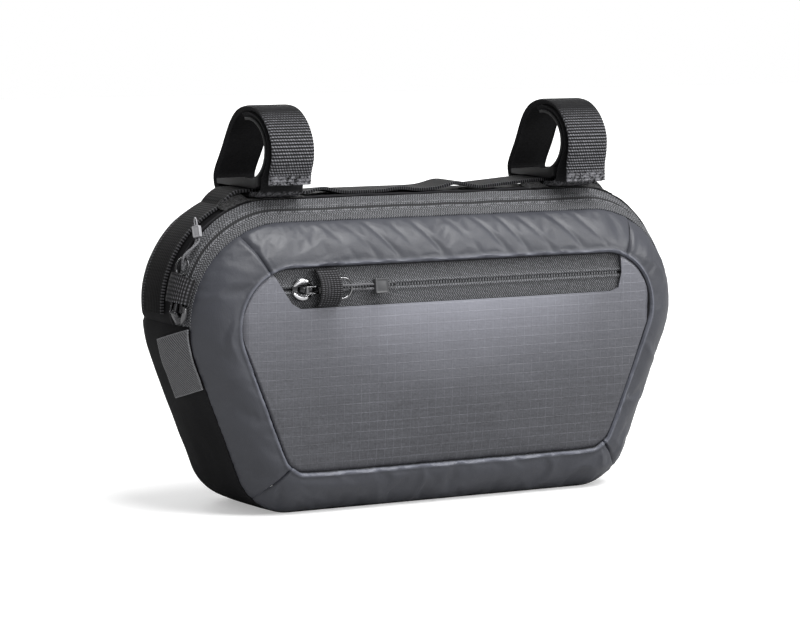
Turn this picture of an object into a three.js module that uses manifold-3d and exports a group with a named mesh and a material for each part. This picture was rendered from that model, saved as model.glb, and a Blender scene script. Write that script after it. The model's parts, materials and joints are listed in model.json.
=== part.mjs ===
// Bicycle handlebar bag: a rounded, tapering pouch with a padded front border, a zipped front
// pocket, a main zip over the top, and two hook-and-loop straps that go round a bar.
// Millimetres, +X to the viewer's right, the front faces -Y, +Z up.
// The origin is the middle of the flat base, which the bag rests on.

import * as THREE from "three";
import { mergeVertices } from "three/addons/utils/BufferGeometryUtils.js";
import Module from "manifold-3d";

const wasm = await Module();
wasm.setup();

// Driving dimensions of the front seam, seen from the front
const TOP_HALF = 83;
const SHOULDER_RADIUS = 45;
const BASE_RADIUS = 28;
const TAPER_DEGREES = 22;
const SEAM_HEIGHT = 131;

// Driving dimensions of the body
const BODY_DEPTH = 51;
const CLOTH = 1.5;
const GAP = 0.3;
const SIDE_PUFF = 2;
const BACK_PUFF = 2.2;
const REAR_ROUND = 9;
const REAR_DROP = 4.5;

// Front border and pocket
const BORDER_WIDTH = 20;
const BORDER_RISE = 12.2;
const BORDER_PUFF = 3.4;
const POCKET_PUFF = 3.2;
const WINDOW_HEIGHT = 17.5;
const WINDOW_LEFT_INSET = 20;
const WINDOW_RIGHT_INSET = 16.5;
const WINDOW_SLANT = 5.5;
const WINDOW_CORNER = 2.5;
const TEETH_DROP = 9;
const TAPE = 1;
const TAPE_LAP = 2;

// Main zip
const ZIP_DEPTH = 12;
const ZIP_RISE = 9;
const PIPING = 0.9;

// Carrying webbing along the top
const WEBBING_WIDTH = 19;
const WEBBING_DEPTH = 29;
const WEBBING = 1.4;
const WEBBING_STEP = 3.2;
const WEBBING_END = 4;

// Bar that the straps close on, and the straps
const BAR_DEPTH = 29.4;
const BAR_HEIGHT = 25.6;
const BAR_Y = -5.8;
const BAR_CLEAR = 9.4;
const STRAP_PLACE = 78.5;
const STRAP_WIDTH = 21.4;
const STRAP = 2.2;
const SLEEVE = 1.4;

// Zip pulls, and the bands of webbing that hold them down
const SLIDER_INSET = 9.4;
const SLIDER_LENGTH = 11.2;
const SLIDER_WIDTH = 9;
const SLIDER_HEIGHT = 2.6;
const PULL_WIRE = 0.6;
const POCKET_RING = 4.6;
const POCKET_PLATE = 14.2;
const MAIN_RING = 4;
const MAIN_PLATE = 16.4;
const POCKET_TILT = 3;
const MAIN_TILT = 11;
const PULL_CORD = 1.1;
const CORD_STEPS = 14;
const PULL_END = 6.6;
const GARAGE_WIDTH = 10.6;
const GARAGE_RISE = 6.4;
const GARAGE_LAP = 2;

// Side label
const LABEL_WIDTH = 26;
const LABEL_HEIGHT = 28;
const LABEL = 0.8;

// Straps: side of the bag, height of the free end over the bar's underside as a share of the bar's
// height, how far that end stands off as a share of the strap's thickness, how far the rear run stands
// back as a share of the bar's depth, and the webbing's run-up towards the middle as a share of the
// strap's width
const STRAPS = [
  { name: "left", side: -1, freeEnd: -0.08, standOff: 0.27, rear: 0.985, runUp: 0.28 },
  { name: "right", side: 1, freeEnd: -0.2, standOff: 0.73, rear: 0.885, runUp: 1.6 },
];

// Creases of the border's top panel, as shares: place of the top half length, depth of the puff,
// width and slant of the top half length
const TOP_CREASES = [
  { at: -0.86, depth: 0.22, width: 0.08, slant: 0.1 },
  { at: -0.52, depth: -0.3, width: 0.06, slant: 0.2 },
  { at: -0.36, depth: 0.3, width: 0.05, slant: 0.22 },
  { at: -0.22, depth: -0.32, width: 0.05, slant: 0.24 },
  { at: -0.06, depth: 0.28, width: 0.05, slant: 0.24 },
  { at: 0.12, depth: -0.3, width: 0.06, slant: 0.2 },
  { at: 0.3, depth: 0.24, width: 0.06, slant: 0.2 },
  { at: 0.47, depth: -0.26, width: 0.05, slant: 0.18 },
  { at: 0.66, depth: 0.28, width: 0.06, slant: 0.14 },
  { at: 0.84, depth: -0.24, width: 0.06, slant: 0.1 },
];

// The two layers of a strap round the bar: angle, 0 behind the bar and 90 above it, and the play
// between the layer and what it lies on as a share of the strap's thickness
const OUTER_TURN = [
  { degrees: 190, play: 0.73 },
  { degrees: 168, play: 0.55 },
  { degrees: 140, play: 0.18 },
  { degrees: 112, play: 0.09 },
  { degrees: 88, play: 0 },
  { degrees: 62, play: 0.18 },
  { degrees: 38, play: 0.18 },
];
const INNER_TURN = [
  { degrees: 228, play: 0.55 },
  { degrees: 205, play: 0 },
  { degrees: 180, play: 0 },
  { degrees: 150, play: 0 },
  { degrees: 120, play: 0 },
  { degrees: 90, play: 0 },
  { degrees: 72, play: 0 },
];

// Loops that the carrying webbing makes between its bar tacks: place and width as shares of the
// top half length, lift as a share of the strap's thickness
const WEBBING_LOOPS = [
  { at: -0.61, lift: 1, width: 0.09 },
  { at: -0.16, lift: 0.5, width: 0.08 },
  { at: 0.14, lift: 1.1, width: 0.08 },
];

// Stations along the front seam, as lengths from the middle of the top
const RAD = Math.PI / 180;
const TAPER = TAPER_DEGREES * RAD;
const SHOULDER_Z = SEAM_HEIGHT - SHOULDER_RADIUS;
const SHOULDER_END_X = TOP_HALF + SHOULDER_RADIUS * Math.cos(TAPER);
const SHOULDER_END_Z = SHOULDER_Z - SHOULDER_RADIUS * Math.sin(TAPER);
const BASE_X =
  SHOULDER_END_X -
  (BASE_RADIUS + (SHOULDER_END_Z - BASE_RADIUS) * Math.sin(TAPER)) / Math.cos(TAPER);
const TAPER_LENGTH =
  (SHOULDER_END_Z - BASE_RADIUS + BASE_RADIUS * Math.sin(TAPER)) / Math.cos(TAPER);
const AT_SIDE = TOP_HALF + (SHOULDER_RADIUS * Math.PI) / 2;
const AT_TAPER = AT_SIDE + SHOULDER_RADIUS * TAPER;
const AT_BASE_CORNER = AT_TAPER + TAPER_LENGTH;
const AT_BASE = AT_BASE_CORNER + BASE_RADIUS * (Math.PI / 2 - TAPER);
const AT_MIDDLE = AT_BASE + BASE_X;
const KNOTS = [
  -AT_BASE, -AT_BASE_CORNER, -AT_TAPER, -AT_SIDE, -TOP_HALF,
  TOP_HALF, AT_SIDE, AT_TAPER, AT_BASE_CORNER, AT_BASE,
  2 * AT_MIDDLE - AT_BASE, 2 * AT_MIDDLE - AT_BASE_CORNER,
  2 * AT_MIDDLE - AT_TAPER, 2 * AT_MIDDLE - AT_SIDE,
];

const FRONT_Y = -BODY_DEPTH / 2;
const BAR_Z = SEAM_HEIGHT + ZIP_RISE + BAR_CLEAR + BAR_HEIGHT / 2;

const clamp = THREE.MathUtils.clamp;
const lerp = THREE.MathUtils.lerp;
const hump = (distance, width) => Math.exp(-((distance / width) ** 2));

// Point of the front seam at station u, moved out by `out`, with its outward normal
function outline(u, out) {
  const station = u > AT_MIDDLE ? u - 2 * AT_MIDDLE : u;
  const side = station < 0 ? -1 : 1;
  const s = Math.abs(station);
  let x = s;
  let z = SEAM_HEIGHT + out;
  let angle = Math.PI / 2;
  if (s > TOP_HALF && s <= AT_TAPER) {
    angle = Math.PI / 2 - (s - TOP_HALF) / SHOULDER_RADIUS;
    x = TOP_HALF + (SHOULDER_RADIUS + out) * Math.cos(angle);
    z = SHOULDER_Z + (SHOULDER_RADIUS + out) * Math.sin(angle);
  } else if (s > AT_TAPER && s <= AT_BASE_CORNER) {
    angle = -TAPER;
    x = SHOULDER_END_X - (s - AT_TAPER) * Math.sin(TAPER) + out * Math.cos(TAPER);
    z = SHOULDER_END_Z - (s - AT_TAPER) * Math.cos(TAPER) - out * Math.sin(TAPER);
  } else if (s > AT_BASE_CORNER && s <= AT_BASE) {
    angle = -TAPER - (s - AT_BASE_CORNER) / BASE_RADIUS;
    const radius = Math.max(BASE_RADIUS + out, GAP);
    x = BASE_X + radius * Math.cos(angle);
    z = BASE_RADIUS + radius * Math.sin(angle);
  } else if (s > AT_BASE) {
    angle = -Math.PI / 2;
    x = BASE_X - (s - AT_BASE);
    z = Math.min(-out, BASE_RADIUS - GAP);
  }
  return { x: side * x, z, nx: side * Math.cos(angle), nz: Math.sin(angle) };
}

// Share of the zip's rise at station u: all of it along the top, none from the widest point down
function shoulderShare(u) {
  const s = Math.abs(u > AT_MIDDLE ? u - 2 * AT_MIDDLE : u);
  return Math.cos(clamp((s - TOP_HALF) / SHOULDER_RADIUS, 0, Math.PI / 2));
}

// Share of the side's puff at station u: none along the top and the flat base
function sideShare(u) {
  const s = Math.abs(u > AT_MIDDLE ? u - 2 * AT_MIDDLE : u);
  const fade = clamp((AT_BASE - s) / (AT_BASE - AT_BASE_CORNER), 0, 1);
  return (1 - shoulderShare(u)) * fade * fade * (3 - 2 * fade);
}

// How far the body stands out from the front seam at station u and depth t behind that seam
function bodyOut(u, t) {
  const rise = ZIP_RISE * shoulderShare(u) * clamp(t / ZIP_DEPTH, 0, 1);
  const puff = SIDE_PUFF * sideShare(u) * Math.sin((Math.PI * clamp(t, 0, BODY_DEPTH)) / BODY_DEPTH);
  const turn = clamp((t - BODY_DEPTH + REAR_ROUND) / REAR_ROUND, 0, 0.95);
  return rise + puff - REAR_DROP * (1 - Math.sqrt(1 - turn * turn));
}

// Point over the body's outside at station u, depth t and height h
function bodyPoint(u, t, h = 0) {
  const p = outline(u, bodyOut(u, t) + h);
  return new THREE.Vector3(p.x, FRONT_Y + t, p.z);
}

// Values from `from` to `to`, stopping at each knot, with finer steps round the corners
function stations(from, to, straightStep, cornerStep) {
  const stops = [from, ...KNOTS.filter((k) => k > from && k < to), to];
  const values = [from];
  for (let i = 1; i < stops.length; i += 1) {
    const middle = (stops[i] + stops[i - 1]) / 2;
    const s = Math.abs(middle > AT_MIDDLE ? middle - 2 * AT_MIDDLE : middle);
    const corner = (s > TOP_HALF && s < AT_TAPER) || (s > AT_BASE_CORNER && s < AT_BASE);
    const length = stops[i] - stops[i - 1];
    const steps = Math.max(1, Math.round(length / (corner ? cornerStep : straightStep)));
    for (let k = 1; k <= steps; k += 1) values.push(stops[i - 1] + (length * k) / steps);
  }
  return values;
}

const spread = (from, to, steps) =>
  Array.from({ length: steps + 1 }, (_, i) => lerp(from, to, i / steps));

// Closed mesh from points and faces, turned so that its faces point out
function closedMesh(points, faces) {
  let volume = 0;
  for (const [a, b, c] of faces) {
    volume += points[a].dot(new THREE.Vector3().crossVectors(points[b], points[c]));
  }
  const turned = volume < 0 ? faces.map(([a, b, c]) => [a, c, b]) : faces;
  const geometry = new THREE.BufferGeometry();
  const position = points.flatMap((p) => [p.x, p.y, p.z]);
  geometry.setAttribute("position", new THREE.Float32BufferAttribute(position, 3));
  geometry.setIndex(turned.flat());
  return geometry;
}

// Wall of cloth: surface(u, v) gives the outer point and the way its thickness goes
function wall(us, vs, thickness, surface) {
  const points = [];
  for (const u of us) {
    for (const v of vs) {
      const { point, inward } = surface(u, v);
      points.push(point, point.clone().addScaledVector(inward, thickness));
    }
  }
  const at = (i, j, side) => 2 * (i * vs.length + j) + side;
  const faces = [];
  const quad = (a, b, c, d) => faces.push([a, b, c], [a, c, d]);
  const lastU = us.length - 1;
  const lastV = vs.length - 1;
  for (let i = 0; i < lastU; i += 1) {
    for (let j = 0; j < lastV; j += 1) {
      quad(at(i, j, 0), at(i + 1, j, 0), at(i + 1, j + 1, 0), at(i, j + 1, 0));
      quad(at(i, j, 1), at(i, j + 1, 1), at(i + 1, j + 1, 1), at(i + 1, j, 1));
    }
    quad(at(i, 0, 0), at(i, 0, 1), at(i + 1, 0, 1), at(i + 1, 0, 0));
    quad(at(i, lastV, 0), at(i + 1, lastV, 0), at(i + 1, lastV, 1), at(i, lastV, 1));
  }
  for (let j = 0; j < lastV; j += 1) {
    quad(at(0, j, 0), at(0, j + 1, 0), at(0, j + 1, 1), at(0, j, 1));
    quad(at(lastU, j, 0), at(lastU, j, 1), at(lastU, j + 1, 1), at(lastU, j + 1, 0));
  }
  return closedMesh(points, faces);
}

// Closed geometry as a solid for joining and cutting, and back again
function toSolid(geometry) {
  const bare = geometry.clone();
  bare.deleteAttribute("normal");
  bare.deleteAttribute("uv");
  const merged = mergeVertices(bare, 1e-4);
  return new wasm.Manifold(
    new wasm.Mesh({
      numProp: 3,
      vertProperties: new Float32Array(merged.attributes.position.array),
      triVerts: new Uint32Array(merged.index.array),
    }),
  );
}

function fromSolid(solid) {
  const mesh = solid.getMesh();
  const geometry = new THREE.BufferGeometry();
  geometry.setAttribute("position", new THREE.BufferAttribute(mesh.vertProperties, 3));
  geometry.setIndex(new THREE.BufferAttribute(mesh.triVerts, 1));
  return geometry;
}

// Flat shape in Y and Z, drawn through [y, z] pairs and run along X about its middle
function alongX(pairs, width) {
  const shape = new THREE.Shape(pairs.map(([y, z]) => new THREE.Vector2(y, z)));
  const geometry = new THREE.ExtrudeGeometry(shape, { depth: width, bevelEnabled: false });
  geometry.translate(0, 0, -width / 2);
  geometry.applyMatrix4(
    new THREE.Matrix4().makeBasis(
      new THREE.Vector3(0, 1, 0),
      new THREE.Vector3(0, 0, 1),
      new THREE.Vector3(1, 0, 0),
    ),
  );
  return geometry;
}

const bag = new THREE.Group();

function addMesh(name, geometry, material, parent = bag) {
  const mesh = new THREE.Mesh(geometry, material);
  mesh.name = name;
  parent.add(mesh);
  return mesh;
}

const coatedCloth = new THREE.MeshStandardMaterial({ color: 0x54555a, roughness: 0.45, metalness: 0 });
const ripstop = new THREE.MeshStandardMaterial({ color: 0x66676c, roughness: 0.6, metalness: 0 });
const blackCloth = new THREE.MeshStandardMaterial({ color: 0x1c1d1f, roughness: 0.8, metalness: 0 });
const zipTape = new THREE.MeshStandardMaterial({ color: 0x55565a, roughness: 0.85, metalness: 0 });
const webbingCloth = new THREE.MeshStandardMaterial({ color: 0x26272a, roughness: 0.9, metalness: 0 });
const rubber = new THREE.MeshStandardMaterial({ color: 0x161618, roughness: 0.6, metalness: 0 });
const darkMetal = new THREE.MeshStandardMaterial({ color: 0x3a3a3d, roughness: 0.25, metalness: 1 });
const cordCloth = new THREE.MeshStandardMaterial({ color: 0x4a4a4d, roughness: 0.9, metalness: 0 });
const mouldedEnd = new THREE.MeshStandardMaterial({ color: 0x55565a, roughness: 0.6, metalness: 0 });
const labelCloth = new THREE.MeshStandardMaterial({ color: 0x4a4b4e, roughness: 0.9, metalness: 0 });

// Front border: a padded ring of four panels that rises from the front seam to the pocket's seam

function creaseDepth(u, v) {
  const share = u / TOP_HALF;
  const creases = TOP_CREASES.reduce(
    (sum, c) => sum + c.depth * hump(share - c.at - c.slant * (v - 0.5), c.width),
    0,
  );
  return Math.abs(share) < 1.2 ? creases * BORDER_PUFF * Math.sin(Math.PI * v) : 0;
}

function borderPoint(u, v) {
  const inset = lerp(GAP / 2, BORDER_WIDTH - GAP / 2, v);
  const seam = outline(u, -inset);
  const puff = BORDER_PUFF * Math.sin(Math.PI * v ** 1.3) + creaseDepth(u, v);
  const point = new THREE.Vector3(seam.x, FRONT_Y - GAP / 2 - BORDER_RISE * v - puff, seam.z);
  const inward = new THREE.Vector3(-seam.nx * (1 - v), v, -seam.nz * (1 - v)).normalize();
  return { point, inward };
}

// The corner seams are given by their stations at the outer and the inner seam
const MITRE_TOP = {
  outer: TOP_HALF + 0.48 * SHOULDER_RADIUS,
  inner: TOP_HALF + 0.46 * SHOULDER_RADIUS,
};
const MITRE_BASE = {
  outer: AT_BASE_CORNER + 0.45 * BASE_RADIUS,
  inner: AT_BASE_CORNER - 0.02 * BASE_RADIUS,
};

// Stations stay even along the panel while its two ends follow the slanting corner seams
function borderPanel(name, start, end, straightStep, cornerStep) {
  const us = stations(start.outer + GAP, end.outer - GAP, straightStep, cornerStep);
  const vs = [0, 0.12, 0.3, 0.5, 0.68, 0.84, 1];
  const geometry = wall(us, vs, CLOTH, (u, v) => {
    const share = (u - start.outer) / (end.outer - start.outer);
    const shift = v * lerp(start.inner - start.outer, end.inner - end.outer, share);
    return borderPoint(u + shift, v);
  });
  addMesh(name, geometry, coatedCloth);
}

const mirrored = (mitre) => ({ outer: -mitre.outer, inner: -mitre.inner });
const wrapped = (mitre) => ({ outer: 2 * AT_MIDDLE - mitre.outer, inner: 2 * AT_MIDDLE - mitre.inner });
borderPanel("border_top", mirrored(MITRE_TOP), MITRE_TOP, 6, 7);
borderPanel("border_left", mirrored(MITRE_BASE), mirrored(MITRE_TOP), 9, 8);
borderPanel("border_right", MITRE_TOP, MITRE_BASE, 9, 8);
borderPanel("border_base", MITRE_BASE, wrapped(MITRE_BASE), 12, 6);

// Panels that close the outline: columns go from the upper edge down to the lower edge, and the
// outermost ones stop this length of seam short of the widest point
const PANEL_TIP = 5.5;

// Station below the widest point whose edge lies at the same X as the one above it
function stationBelow(u, edge) {
  const x = Math.abs(edge(u).x);
  let low = AT_SIDE;
  let high = AT_MIDDLE;
  for (let i = 0; i < 40; i += 1) {
    const middle = (low + high) / 2;
    if (Math.abs(edge(middle).x) > x) low = middle;
    else high = middle;
  }
  return u < 0 ? 2 * AT_MIDDLE - low : low;
}

function closingPanel(us, vs, edge, inward, standOut) {
  return wall(us, vs, CLOTH, (u, v) => {
    const top = edge(u);
    const low = edge(stationBelow(u, edge));
    const point = new THREE.Vector3(top.x, top.y, lerp(top.z, low.z, v));
    point.addScaledVector(inward, -standOut(point));
    return { point, inward };
  });
}

// Share of a panel's swell at a point: full in the middle and none at its edge
function swell(x, z, halfWidth, lowZ, highZ) {
  const across = clamp(1 - (x / halfWidth) ** 2, 0, 1);
  const up = clamp((4 * (z - lowZ) * (highZ - z)) / (highZ - lowZ) ** 2, 0, 1);
  return Math.sqrt(across * up);
}

const POCKET_HALF = TOP_HALF + SHOULDER_RADIUS - BORDER_WIDTH;
const POCKET_TOP = SEAM_HEIGHT - BORDER_WIDTH;
const POCKET_TEETH = POCKET_TOP - TEETH_DROP;
const WINDOW_LOW = POCKET_TOP - WINDOW_HEIGHT;
const WINDOW_LEFT = POCKET_HALF - WINDOW_LEFT_INSET;
const WINDOW_RIGHT = POCKET_HALF - WINDOW_RIGHT_INSET;
const pocketSwell = (x, z) => POCKET_PUFF * swell(x, z, POCKET_HALF, BORDER_WIDTH, POCKET_TOP);
const POCKET_Y = FRONT_Y - BORDER_RISE;

// Outline of the zip's window, as [x, z] pairs from its lower left corner
function windowPairs() {
  const high = POCKET_TOP + 2 * CLOTH;
  return [
    [-WINDOW_LEFT + 1.4 * WINDOW_SLANT, WINDOW_LOW],
    [WINDOW_RIGHT - 1.9 * WINDOW_SLANT, WINDOW_LOW],
    [WINDOW_RIGHT - 0.5 * WINDOW_SLANT, WINDOW_LOW + WINDOW_CORNER],
    [WINDOW_RIGHT, POCKET_TEETH],
    [WINDOW_RIGHT, high],
    [-WINDOW_LEFT - WINDOW_SLANT, high],
    [-WINDOW_LEFT - WINDOW_SLANT, POCKET_TOP - CLOTH],
    [-WINDOW_LEFT + 0.6 * WINDOW_SLANT, WINDOW_LOW + WINDOW_CORNER],
  ];
}

// Prism through the front of the bag with the given outline in X and Z
function frontPrism(pairs) {
  const shape = new THREE.Shape(pairs.map(([x, z]) => new THREE.Vector2(x, z)));
  const depth = BORDER_RISE + BODY_DEPTH / 2;
  const geometry = new THREE.ExtrudeGeometry(shape, { depth, bevelEnabled: false });
  geometry.rotateX(Math.PI / 2);
  geometry.translate(0, FRONT_Y, 0);
  return geometry;
}

const pocketEdge = (u) => {
  const p = outline(u, -BORDER_WIDTH - GAP / 2);
  return new THREE.Vector3(p.x, POCKET_Y, p.z);
};
const pocketColumns = stations(-AT_SIDE + PANEL_TIP, AT_SIDE - PANEL_TIP, 12, 9);
const pocketInward = new THREE.Vector3(0, 1, 0);
const pocketWhole = closingPanel(pocketColumns, spread(0, 1, 8), pocketEdge, pocketInward, (p) =>
  pocketSwell(p.x, p.z),
);
const pocketCut = toSolid(pocketWhole).subtract(toSolid(frontPrism(windowPairs())));
addMesh("pocket_panel", fromSolid(pocketCut), ripstop);

// Pocket zip: two tapes just behind the window, met at the row of teeth
function pocketTapePoint(x, z) {
  const y = POCKET_Y - pocketSwell(x, z) + CLOTH + GAP;
  return { point: new THREE.Vector3(x, y, z), inward: pocketInward };
}
const tapeColumns = spread(-WINDOW_LEFT - TAPE_LAP, WINDOW_RIGHT + TAPE_LAP, 16);
const upperRows = spread(POCKET_TEETH + GAP / 2, POCKET_TOP + TAPE_LAP, 2);
const lowerRows = spread(WINDOW_LOW - TAPE_LAP, POCKET_TEETH - GAP / 2, 2);
addMesh("pocket_tape_upper", wall(tapeColumns, upperRows, TAPE, pocketTapePoint), zipTape);
addMesh("pocket_tape_lower", wall(tapeColumns, lowerRows, TAPE, pocketTapePoint), zipTape);

// Body: zip tapes, gussets and back, all of them walls that follow the same outside

const radial = (u) => {
  const p = outline(u, 0);
  return new THREE.Vector3(-p.nx, 0, -p.nz);
};

function bodyWall(us, ts, thickness, height) {
  const surface = (u, t) => ({ point: bodyPoint(u, t, height(u, t)), inward: radial(u) });
  return wall(us, ts, thickness, surface);
}

const flush = () => 0;
const zipStations = stations(-AT_SIDE + GAP, AT_SIDE - GAP, 14, 6);
const ZIP_MIDDLE = ZIP_DEPTH / 2;
const frontTape = [GAP / 2, ZIP_MIDDLE - GAP / 2];
const backTape = [ZIP_MIDDLE + GAP / 2, ZIP_DEPTH - GAP / 2];
addMesh("main_tape_front", bodyWall(zipStations, frontTape, TAPE, flush), zipTape);
addMesh("main_tape_back", bodyWall(zipStations, backTape, TAPE, flush), zipTape);

// The upper gusset has a piped fold along the zip and rounds over to the back
const REAR_EDGE = BODY_DEPTH - CLOTH - GAP;
const piping = (u, t) => PIPING * hump(t - ZIP_DEPTH - 1.5 * PIPING, PIPING);
const turnDepths = [0.02, 0.45, 0.8].map((share) => BODY_DEPTH - REAR_ROUND * (1 - share));
const upperDepths = [
  ...[0, 1, 1.6, 2.6, 4].map((share) => ZIP_DEPTH + GAP / 2 + share * PIPING),
  (ZIP_DEPTH + BODY_DEPTH) / 2,
  ...turnDepths,
  REAR_EDGE,
];
const upperStations = stations(-AT_SIDE + GAP / 2, AT_SIDE - GAP / 2, 20, 7);
addMesh("gusset_upper", bodyWall(upperStations, upperDepths, CLOTH, piping), blackCloth);

const lowerDepths = [GAP / 2, 0.25 * BODY_DEPTH, 0.5 * BODY_DEPTH, ...turnDepths, REAR_EDGE];
const lowerStations = stations(AT_SIDE + GAP / 2, 2 * AT_MIDDLE - AT_SIDE - GAP / 2, 20, 7);
addMesh("gusset_lower", bodyWall(lowerStations, lowerDepths, CLOTH, flush), blackCloth);

const backEdge = (u) => bodyPoint(u, BODY_DEPTH);
const backHalf = TOP_HALF + SHOULDER_RADIUS;
const backColumns = stations(-AT_SIDE + PANEL_TIP, AT_SIDE - PANEL_TIP, 20, 10);
const backInward = new THREE.Vector3(0, -1, 0);
const backSwell = (p) => BACK_PUFF * swell(p.x, p.z, backHalf, 0, SEAM_HEIGHT + ZIP_RISE);
const backWall = closingPanel(backColumns, spread(0, 1, 6), backEdge, backInward, backSwell);
addMesh("back_panel", backWall, blackCloth);

// Carrying webbing, tacked down along the top, with loops, and led over each strap's base run
function webbingLift(u) {
  const share = u / TOP_HALF;
  const loops = WEBBING_LOOPS.reduce(
    (sum, loop) => sum + loop.lift * STRAP * hump(share - loop.at, loop.width),
    0,
  );
  const overStraps = STRAPS.map((strap) => {
    const inner = STRAP_PLACE - strap.side * u;
    const run = STRAP_WIDTH * (inner > 0 ? strap.runUp : 1 / 3);
    const past = Math.abs(inner) - STRAP_WIDTH / 2 - WEBBING_STEP;
    const overStrap = STRAP + GAP + SEAM_HEIGHT - outline(u, 0).z;
    return overStrap * clamp(1 - past / run, 0, 1);
  });
  return Math.max(loops, ...overStraps);
}
const webbingHeight = (u) => 2 * GAP + WEBBING + webbingLift(u);
const webbingSpan = [WEBBING_DEPTH - WEBBING_WIDTH / 2, WEBBING_DEPTH + WEBBING_WIDTH / 2];
const webbingStations = stations(-AT_SIDE + WEBBING_END, AT_SIDE - WEBBING_END, WEBBING_STEP, 6);
addMesh("carry_webbing", bodyWall(webbingStations, webbingSpan, WEBBING, webbingHeight), webbingCloth);

// Straps and bar pads, drawn in Y and Z as seen from the bag's side

// Point at an angle round the bar, 0 behind it and 90 above it, `out` from its surface
function roundBar(degrees, out) {
  const y = BAR_Y + (BAR_DEPTH / 2 + out) * Math.cos(degrees * RAD);
  const z = BAR_Z + (BAR_HEIGHT / 2 + out) * Math.sin(degrees * RAD);
  return [y, z];
}

const TOP_Z = SEAM_HEIGHT + ZIP_RISE;
const BASE_RUN = TOP_Z + 2 * GAP + STRAP / 2;
const PAD_LOW = TOP_Z + STRAP + WEBBING + 4 * GAP;
const INNER_LAYER = SLEEVE + 2 * GAP + STRAP / 2;
const OUTER_LAYER = INNER_LAYER + STRAP + 1.5 * GAP;

// Middle line of one strap: free end, over the bar, down behind, under the webbing, up inside
function strapLine(strap) {
  const rear = strap.rear * BAR_DEPTH - STRAP;
  const freeEnd = strap.freeEnd * BAR_HEIGHT;
  const standOff = OUTER_LAYER + strap.standOff * STRAP;
  return [
    [roundBar(215, 0)[0] + freeEnd / 4 - standOff, BAR_Z - BAR_HEIGHT / 2 + freeEnd],
    roundBar(208, standOff + 0.55 * STRAP),
    ...OUTER_TURN.map((row) => roundBar(row.degrees, OUTER_LAYER + row.play * STRAP)),
    [lerp(BAR_Y + BAR_DEPTH / 2, rear, 0.62), BAR_Z - 0.1 * BAR_HEIGHT],
    [lerp(BAR_Y + BAR_DEPTH / 2, rear, 0.93), BAR_Z - 0.42 * BAR_HEIGHT],
    [rear, PAD_LOW + 1.5 * STRAP],
    [rear - 0.8 * STRAP, BASE_RUN + 0.5 * STRAP],
    [rear - 3.5 * STRAP, BASE_RUN],
    [BAR_Y + 0.4 * BAR_DEPTH, BASE_RUN],
    [BAR_Y, BASE_RUN],
    [BAR_Y - 0.16 * BAR_DEPTH, BASE_RUN + 0.4 * PIPING],
    [BAR_Y - 0.36 * BAR_DEPTH, BASE_RUN + 1.6 * PIPING],
    ...INNER_TURN.map((row) => roundBar(row.degrees, INNER_LAYER + row.play * STRAP)),
  ];
}

function strapGeometry(strap) {
  const points = strapLine(strap).map(([y, z]) => new THREE.Vector3(0, y, z));
  const curve = new THREE.CatmullRomCurve3(points, false, "centripetal");
  const middle = strap.side * STRAP_PLACE;
  const sides = [middle - STRAP_WIDTH / 2, middle + STRAP_WIDTH / 2];
  return wall(spread(0, 1, 84), sides, STRAP, (share, x) => {
    const point = curve.getPointAt(share);
    const along = curve.getTangentAt(share);
    const inward = new THREE.Vector3(0, -along.z, along.y);
    point.x = x;
    return { point: point.addScaledVector(inward, -STRAP / 2), inward };
  });
}

// Rubber pad: a wedge under the bar with a thin sleeve that goes up round the front of it
function padGeometry(strap) {
  const tip = strap.rear * BAR_DEPTH - 2 * STRAP;
  const inside = spread(78, 285, 20).map((degrees) => roundBar(degrees, GAP));
  const outside = spread(236, 78, 14).map((degrees) => roundBar(degrees, GAP + SLEEVE));
  return alongX(
    [
      ...inside,
      [tip, PAD_LOW + 1.6 * SLEEVE],
      [tip - 0.3 * STRAP, PAD_LOW],
      [BAR_Y - 0.2 * BAR_DEPTH, PAD_LOW],
      [BAR_Y - 0.32 * BAR_DEPTH, PAD_LOW + SLEEVE],
      ...outside,
    ],
    STRAP_WIDTH,
  );
}

for (const strap of STRAPS) {
  addMesh(`strap_${strap.name}`, strapGeometry(strap), webbingCloth);
  const pad = addMesh(`bar_pad_${strap.name}`, padGeometry(strap), rubber);
  pad.position.x = strap.side * STRAP_PLACE;
}

// Zip pulls: X runs along the zip from the slider to the pull, Z stands off the tape

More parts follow.
